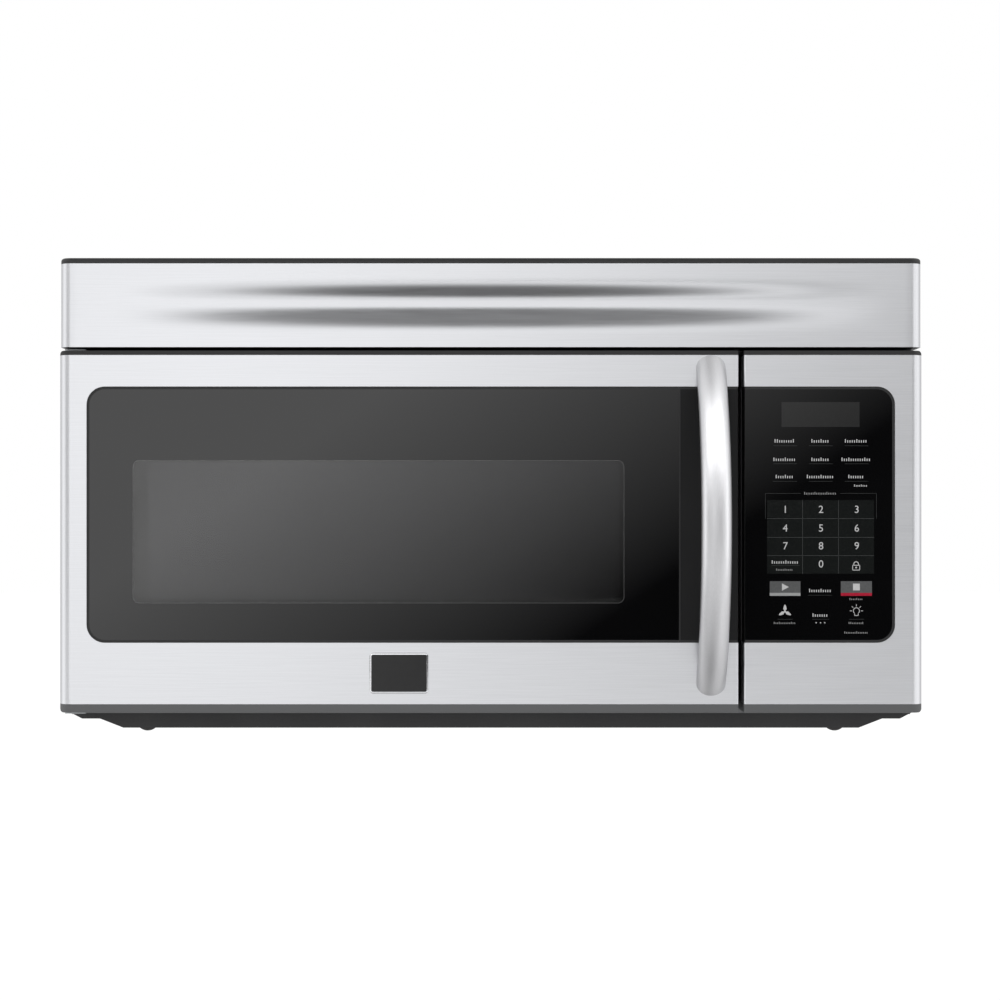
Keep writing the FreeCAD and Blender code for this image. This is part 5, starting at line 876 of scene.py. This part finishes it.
# %% Lock, fan and lamp
LOCK, FAN, LAMP = (320.7, 149.6), (258.2, 111.0), (320.9, 111.6)  # the middles of the signs
BLADE = [(0.9, -0.5), (2.3, -1.5), (5.4, -0.75), (6.2, 0.0), (5.4, 0.75), (2.3, 1.5), (0.9, 0.5)]


def stroke(middle, points, width):
    """A white line of a given width through points about a sign's middle: each run is its own bar."""
    corners = [Vector(middle) + Vector(point) for point in points]
    for first, last in zip(corners, corners[1:]):
        side = (last - first).orthogonal().normalized() * width / 2
        outline("white", [first + side, first - side, last - side, last + side])


def arc(up, radius, start_deg, end_deg, count):
    """Points along an arc whose centre stands over the sign's middle."""
    angles = [math.radians(start_deg + (end_deg - start_deg) * i / count) for i in range(count + 1)]
    return [(radius * math.cos(a), up + radius * math.sin(a)) for a in angles]


stroke(LOCK, [(-2.1, 2.0)] + arc(3.0, 2.1, 180, 0, 10) + [(2.1, 2.0)], 0.75)  # shackle
stroke(LOCK, [(-3.1, 2.0), (3.1, 2.0), (3.1, -2.2), (-3.1, -2.2), (-3.1, 2.0)], 0.6)  # body
disc("white", *LOCK, 0.8, 10)  # keyhole
for turn in (90, 210, 330):
    turned = Matrix.Rotation(math.radians(turn), 2)
    outline("white", [Vector(FAN) + turned @ Vector(point) for point in BLADE])
disc("white", *FAN, 1.0, 12)
stroke(LAMP, arc(0, 2.7, -50, 230, 14), 0.55)  # bulb
stroke(LAMP, [(-1.6, -2.4), (-1.6, -4.1), (1.6, -4.1), (1.6, -2.4)], 0.55)  # cap
for turn in (0, 45, 90, 135, 180):
    stroke(LAMP, [arc(0, reach, turn, turn, 1)[0] for reach in (3.9, 5.7)], 0.5)  # rays
print("signs at", LOCK, FAN, LAMP)

# %% [markdown]
# Start and stop are two grey fields with a bright or a red edge below, a wedge on one and a square on the
# other. Names, fine lines and smaller grey names fill the rest, and a smoked field is the display.

# %% Start, stop and the remaining print
for x0, x1, edge in ((244.85, 271.8, "pale"), (307.2, 334.5, "red")):
    bar("key", x0, x1, 127.4, 137.6)
    bar(edge, x0, x1, 124.8, 127.4)
outline("white", [(255.6, 129.3), (261.6, 132.5), (255.6, 135.7)], 0.03)
bar("white", 317.9, 323.9, 129.6, 135.5, 0.03)
bar("display", 255.2, 323.65, 273.05, 294.85)
NAMES = ((258.6, 154.5, 24.0), (289.4, 129.5, 19.5), (289.4, 107.9, 14.0))  # middle, height, length
SMALL_NAMES = (  # the same, and how tall
    (258.0, 147.8, 15.0, 1.9), (320.9, 122.0, 12.0, 1.8), (258.2, 101.0, 20.0, 1.8),
    (320.9, 101.0, 13.0, 1.8), (320.9, 92.6, 21.0, 1.9),
)
LINES = (  # from, to, height
    (246.3, 271.2, 151.35), (278.4, 299.5, 125.2), (282.0, 297.0, 104.1),
    (251.7, 264.7, 104.1), (314.4, 327.4, 104.1),
)
for x, z, long in NAMES:
    marks("white", x, z, long)
for x, z, long, tall in SMALL_NAMES:
    marks("grey", x, z, long, tall)
for x0, x1, z in LINES:
    bar("line", x0, x1, z, z + HAIR)
for x in (285.6, 289.4, 293.1):
    disc("white", x, 101.2, 0.55, 10)
print(len(print_sheets), "colours of print")

# %% [markdown]
# White and grey ink is matt beside the glass. The fields and lines lie under its gloss, so they share it.
# Each colour is one piece, with its faces turned to the front. A little noise in the tone is the uneven
# film of a screen print.

# %% Inks, and one piece for each


def printing_ink(name, dark, light, roughness=0.5):
    """Screen printing ink, a thin film of slightly uneven tone."""
    material, tree, shader, place = start(name, IOR=1.5)
    film = spots(tree, place, 1.2)
    tree.links.new(shades(tree, between(tree, film, 0.0, 1.0), dark, light), shader.inputs["Base Color"])
    tree.links.new(between(tree, film, roughness - 0.05, roughness + 0.05), shader.inputs["Roughness"])
    return material


INKS = {
    "white": printing_ink("white_ink", "C4C4C4", "CCCCCC"),
    "grey": printing_ink("grey_ink", "8A8A8A", "949494"),
    "line": printing_ink("line_ink", "434545", "494A4A", 0.1),
    "panel": printing_ink("dark_key_field", "191B1B", "1C1E1D", 0.07),
    "key": printing_ink("grey_key_field", "5C5D5E", "646565", 0.1),
    "pale": printing_ink("pale_key_edge", "A2A3A3", "ACADAD", 0.1),
    "red": printing_ink("red_key_edge", "AC2038", "B8283E", 0.1),
    "display": printing_ink("smoked_display_window", "2A2A2A", "2C2C2C", 0.07),
}
for colour, bm in print_sheets.items():
    printed = piece(bm, "print_" + colour, "case", "front_glass", INKS[colour])
    for polygon in printed.data.polygons:
        if polygon.normal.y > 0:
            polygon.flip()
    printed.data.update()

# %% [markdown]
# ## Camera, light and floor
#
# The camera stands where the photographer stood: square to the front, a little off the middle, with a
# long lens. The standard view transform keeps colours as they are written.

# %% Camera
CAMERA_PLACE, LENS_MM, SENSOR_MM = (0.0081, -2.141, 0.2089), 71.8, 36
scene = bpy.context.scene
scene.view_settings.view_transform = "Standard"
camera_data = bpy.data.cameras.new("camera")
camera_data.lens, camera_data.sensor_width = LENS_MM, SENSOR_MM
camera = bpy.data.objects.new("camera", camera_data)
camera.location = CAMERA_PLACE
camera.rotation_euler = (math.pi / 2, 0, 0)
scene.collection.objects.link(camera)
scene.camera = camera
print("the camera sees", round(math.degrees(camera_data.angle), 1), "degrees")

# %% [markdown]
# A mirror-like front shows the room, so the room has to be drawn too. Glossy rays meet a studio whose
# brightness depends on their direction alone. Straight ahead hangs a bright panel that ends softly on the
# left and along a slanting edge to the lower right. A second panel stands low, and a strip to the right.
# Lamps and walls fill both sides, and the ceiling, the floor and the room behind are dimmer.
#
# All other rays meet an even pale sky, at which a colour renders about as it is written, and the camera's
# own rays meet plain white.

# %% The studio that reflections meet
EVEN_SKY, BEHIND = 0.86, 0.75
world = bpy.data.worlds.new("studio")
scene.world = world
world.use_nodes = True
sky = world.node_tree
sky.nodes.clear()


def studio_level(tree):
    """Brightness by the direction of a reflected ray."""
    toward = add(tree, "TexCoord", {}).outputs["Generated"]
    x, y, z = add(tree, "SeparateXYZ", {"Vector": toward}).outputs

    def calc(operation, a, b=0.0, clamp=False):
        return add(tree, "Math", {0: a, 1: b}, operation=operation, use_clamp=clamp).outputs[0]

    def fade(value, low, high, bottom, top):
        """A soft step: bottom up to the low value, top from the high value on."""
        return add(tree, "MapRange", {
            "Value": value, "From Min": low, "From Max": high, "To Min": bottom, "To Max": top,
        }, interpolation_type="SMOOTHSTEP").outputs["Result"]

    ahead = calc("MAXIMUM", calc("MULTIPLY", y, -1.0), 0.02)
    across, up = calc("DIVIDE", x, ahead), calc("DIVIDE", z, ahead)
    aside = calc("ABSOLUTE", across)
    slant = calc("ADD", calc("MULTIPLY", across, -3.6), calc("MULTIPLY", up, 5.148))
    panel = calc("MULTIPLY", calc("ADD", slant, 0.504, True), fade(across, -0.26, -0.42, 1.85, 0.25))
    low_panel = calc("MULTIPLY", fade(up, -0.08, -0.15, 0.0, 1.3), fade(z, -0.15, -0.75, 1.0, 0.0))
    lamps = calc("MULTIPLY", fade(aside, 0.3, 0.42, 0.0, 1.0), fade(z, 0.08, 0.25, 0.0, 1.4))
    parts = [
        calc("MULTIPLY", panel, fade(z, 0.10, 0.52, 1.0, 0.0)),
        low_panel,
        calc("MULTIPLY", fade(across, 0.55, 0.8, 0.0, 1.2), fade(across, 1.2, 1.6, 1.0, 0.0)),  # strip
        calc("MULTIPLY", lamps, fade(z, 0.78, 0.95, 1.0, 0.3)),
        calc("MULTIPLY", fade(aside, 0.3, 0.42, 0.0, 0.42), fade(z, -0.08, -0.3, 0.0, 1.0)),  # near walls
        fade(aside, 0.9, 1.9, 0.0, 1.2),  # far walls
        fade(z, 0.96, 0.99, 0.0, 0.8),  # ceiling
        fade(z, -0.96, -0.99, 0.0, 0.7),  # floor
    ]
    level = parts[0]
    for part in parts[1:]:
        level = calc("MAXIMUM", level, part)
    behind = fade(y, 0.0, 0.35, 0.0, 1.0)
    return add(tree, "Mix", {"Factor": behind, "A": level, "B": BEHIND}).outputs["Result"]


def backdrop(strength):
    """A white background of a given brightness."""
    return add(sky, "Background", {"Color": (1, 1, 1, 1), "Strength": strength}).outputs[0]


ray = add(sky, "LightPath", {}).outputs
unseen = add(sky, "MixShader", {
    0: ray["Is Glossy Ray"], 1: backdrop(EVEN_SKY), 2: backdrop(studio_level(sky)),
}).outputs[0]
whole = add(sky, "MixShader", {0: ray["Is Camera Ray"], 1: unseen, 2: backdrop(1.0)}).outputs[0]
add(sky, "OutputWorld", {"Surface": whole})
print(len(sky.nodes), "nodes draw the studio")

# %% [markdown]
# One large lamp to the upper left gives the light a direction. Reflections don't show it.

# %% Key light
KEY_SIZE, KEY_WATTS, KEY_PLACE, KEY_AIM = 2.2, 16, (-1.6, -2.4, 2.2), Vector((0, -0.2, 0.2))
key_data = bpy.data.lights.new("key", "AREA")
key_data.shape, key_data.size, key_data.energy = "SQUARE", KEY_SIZE, KEY_WATTS
key = bpy.data.objects.new("key", key_data)
key.location = KEY_PLACE
key.rotation_euler = (KEY_AIM - key.location).to_track_quat("-Z", "Y").to_euler()
key.visible_glossy = False
scene.collection.objects.link(key)
print("key light", round((KEY_AIM - key.location).length, 2), "m away")

# %% [markdown]
# A photographer lights a round handle on its own, with soft boxes placed for it alone, because it mirrors
# half the room. Light linking does that here: each box names a collection of the objects that it lights.

# %% Soft boxes for the handle
grip = bpy.data.collections.new("lit_by_the_soft_boxes")
grip.objects.link(frame["nodes"]["handle"])
HANDLE_MIDDLE = Vector((0.18, -0.43, 0.2))
SOFT_BOXES = (  # name, width, height, watts, place
    ("high_box", 1.5, 0.5, 10.0, (0.26, -1.2, 0.95)),
    ("low_box", 1.5, 0.7, 2.2, (0.26, -1.1, -0.45)),
    ("right_box", 0.35, 1.0, 2.4, (1.2, -1.05, 0.25)),
    ("left_box", 0.35, 1.0, 2.0, (-0.85, -1.05, 0.25)),
)
for name, width, height, watts, place in SOFT_BOXES:
    box_data = bpy.data.lights.new(name, "AREA")
    box_data.shape, box_data.energy = "RECTANGLE", watts
    box_data.size, box_data.size_y = width, height
    box = bpy.data.objects.new(name, box_data)
    box.location = place
    box.rotation_euler = (HANDLE_MIDDLE - box.location).to_track_quat("-Z", "Y").to_euler()
    box.visible_camera = False
    box.light_linking.receiver_collection = grip
    scene.collection.objects.link(box)
print(len(SOFT_BOXES), "soft boxes on the handle")

# %% [markdown]
# The floor lies well below and catches a faint shadow. It glows a little, so that it fades into the white
# behind it, and more so for the camera than for the light. From below it is clear, so it hides nothing.

# %% Floor
FLOOR_Z, FLOOR_HALF = -0.55, 14
GREY, GLOW_SEEN, GLOW_GIVEN = 0.5, 0.6, 0.2
floor_mesh = bmesh.new()
bmesh.ops.create_grid(floor_mesh, x_segments=1, y_segments=1, size=FLOOR_HALF)
bmesh.ops.translate(floor_mesh, verts=floor_mesh.verts, vec=(0, 0, FLOOR_Z))
floor_data = bpy.data.meshes.new("studio_floor")
floor_mesh.to_mesh(floor_data)
floor_mesh.free()
floor = bpy.data.objects.new("studio_floor", floor_data)
scene.collection.objects.link(floor)
floor.visible_glossy = False
floor_paint = bpy.data.materials.new("white_studio_floor")
floor_paint.use_nodes = True
paint = floor_paint.node_tree
paint.nodes.clear()


def glow(strength):
    """White light of its own."""
    return add(paint, "Emission", {"Color": (1, 1, 1, 1), "Strength": strength}).outputs[0]


to_camera = add(paint, "LightPath", {}).outputs["Is Camera Ray"]
glows = add(paint, "MixShader", {0: to_camera, 1: glow(GLOW_GIVEN), 2: glow(GLOW_SEEN)}).outputs[0]
matt = add(paint, "BsdfDiffuse", {"Color": (GREY, GREY, GREY, 1)}).outputs[0]
both = add(paint, "AddShader", {0: matt, 1: glows}).outputs[0]
from_below = add(paint, "NewGeometry", {}).outputs["Backfacing"]
clear = add(paint, "BsdfTransparent", {}).outputs[0]
one_way = add(paint, "MixShader", {0: from_below, 1: both, 2: clear}).outputs[0]
add(paint, "OutputMaterial", {"Surface": one_way})
floor_data.materials.append(floor_paint)
print("the floor lies", -FLOOR_Z / MM, "mm below the oven")
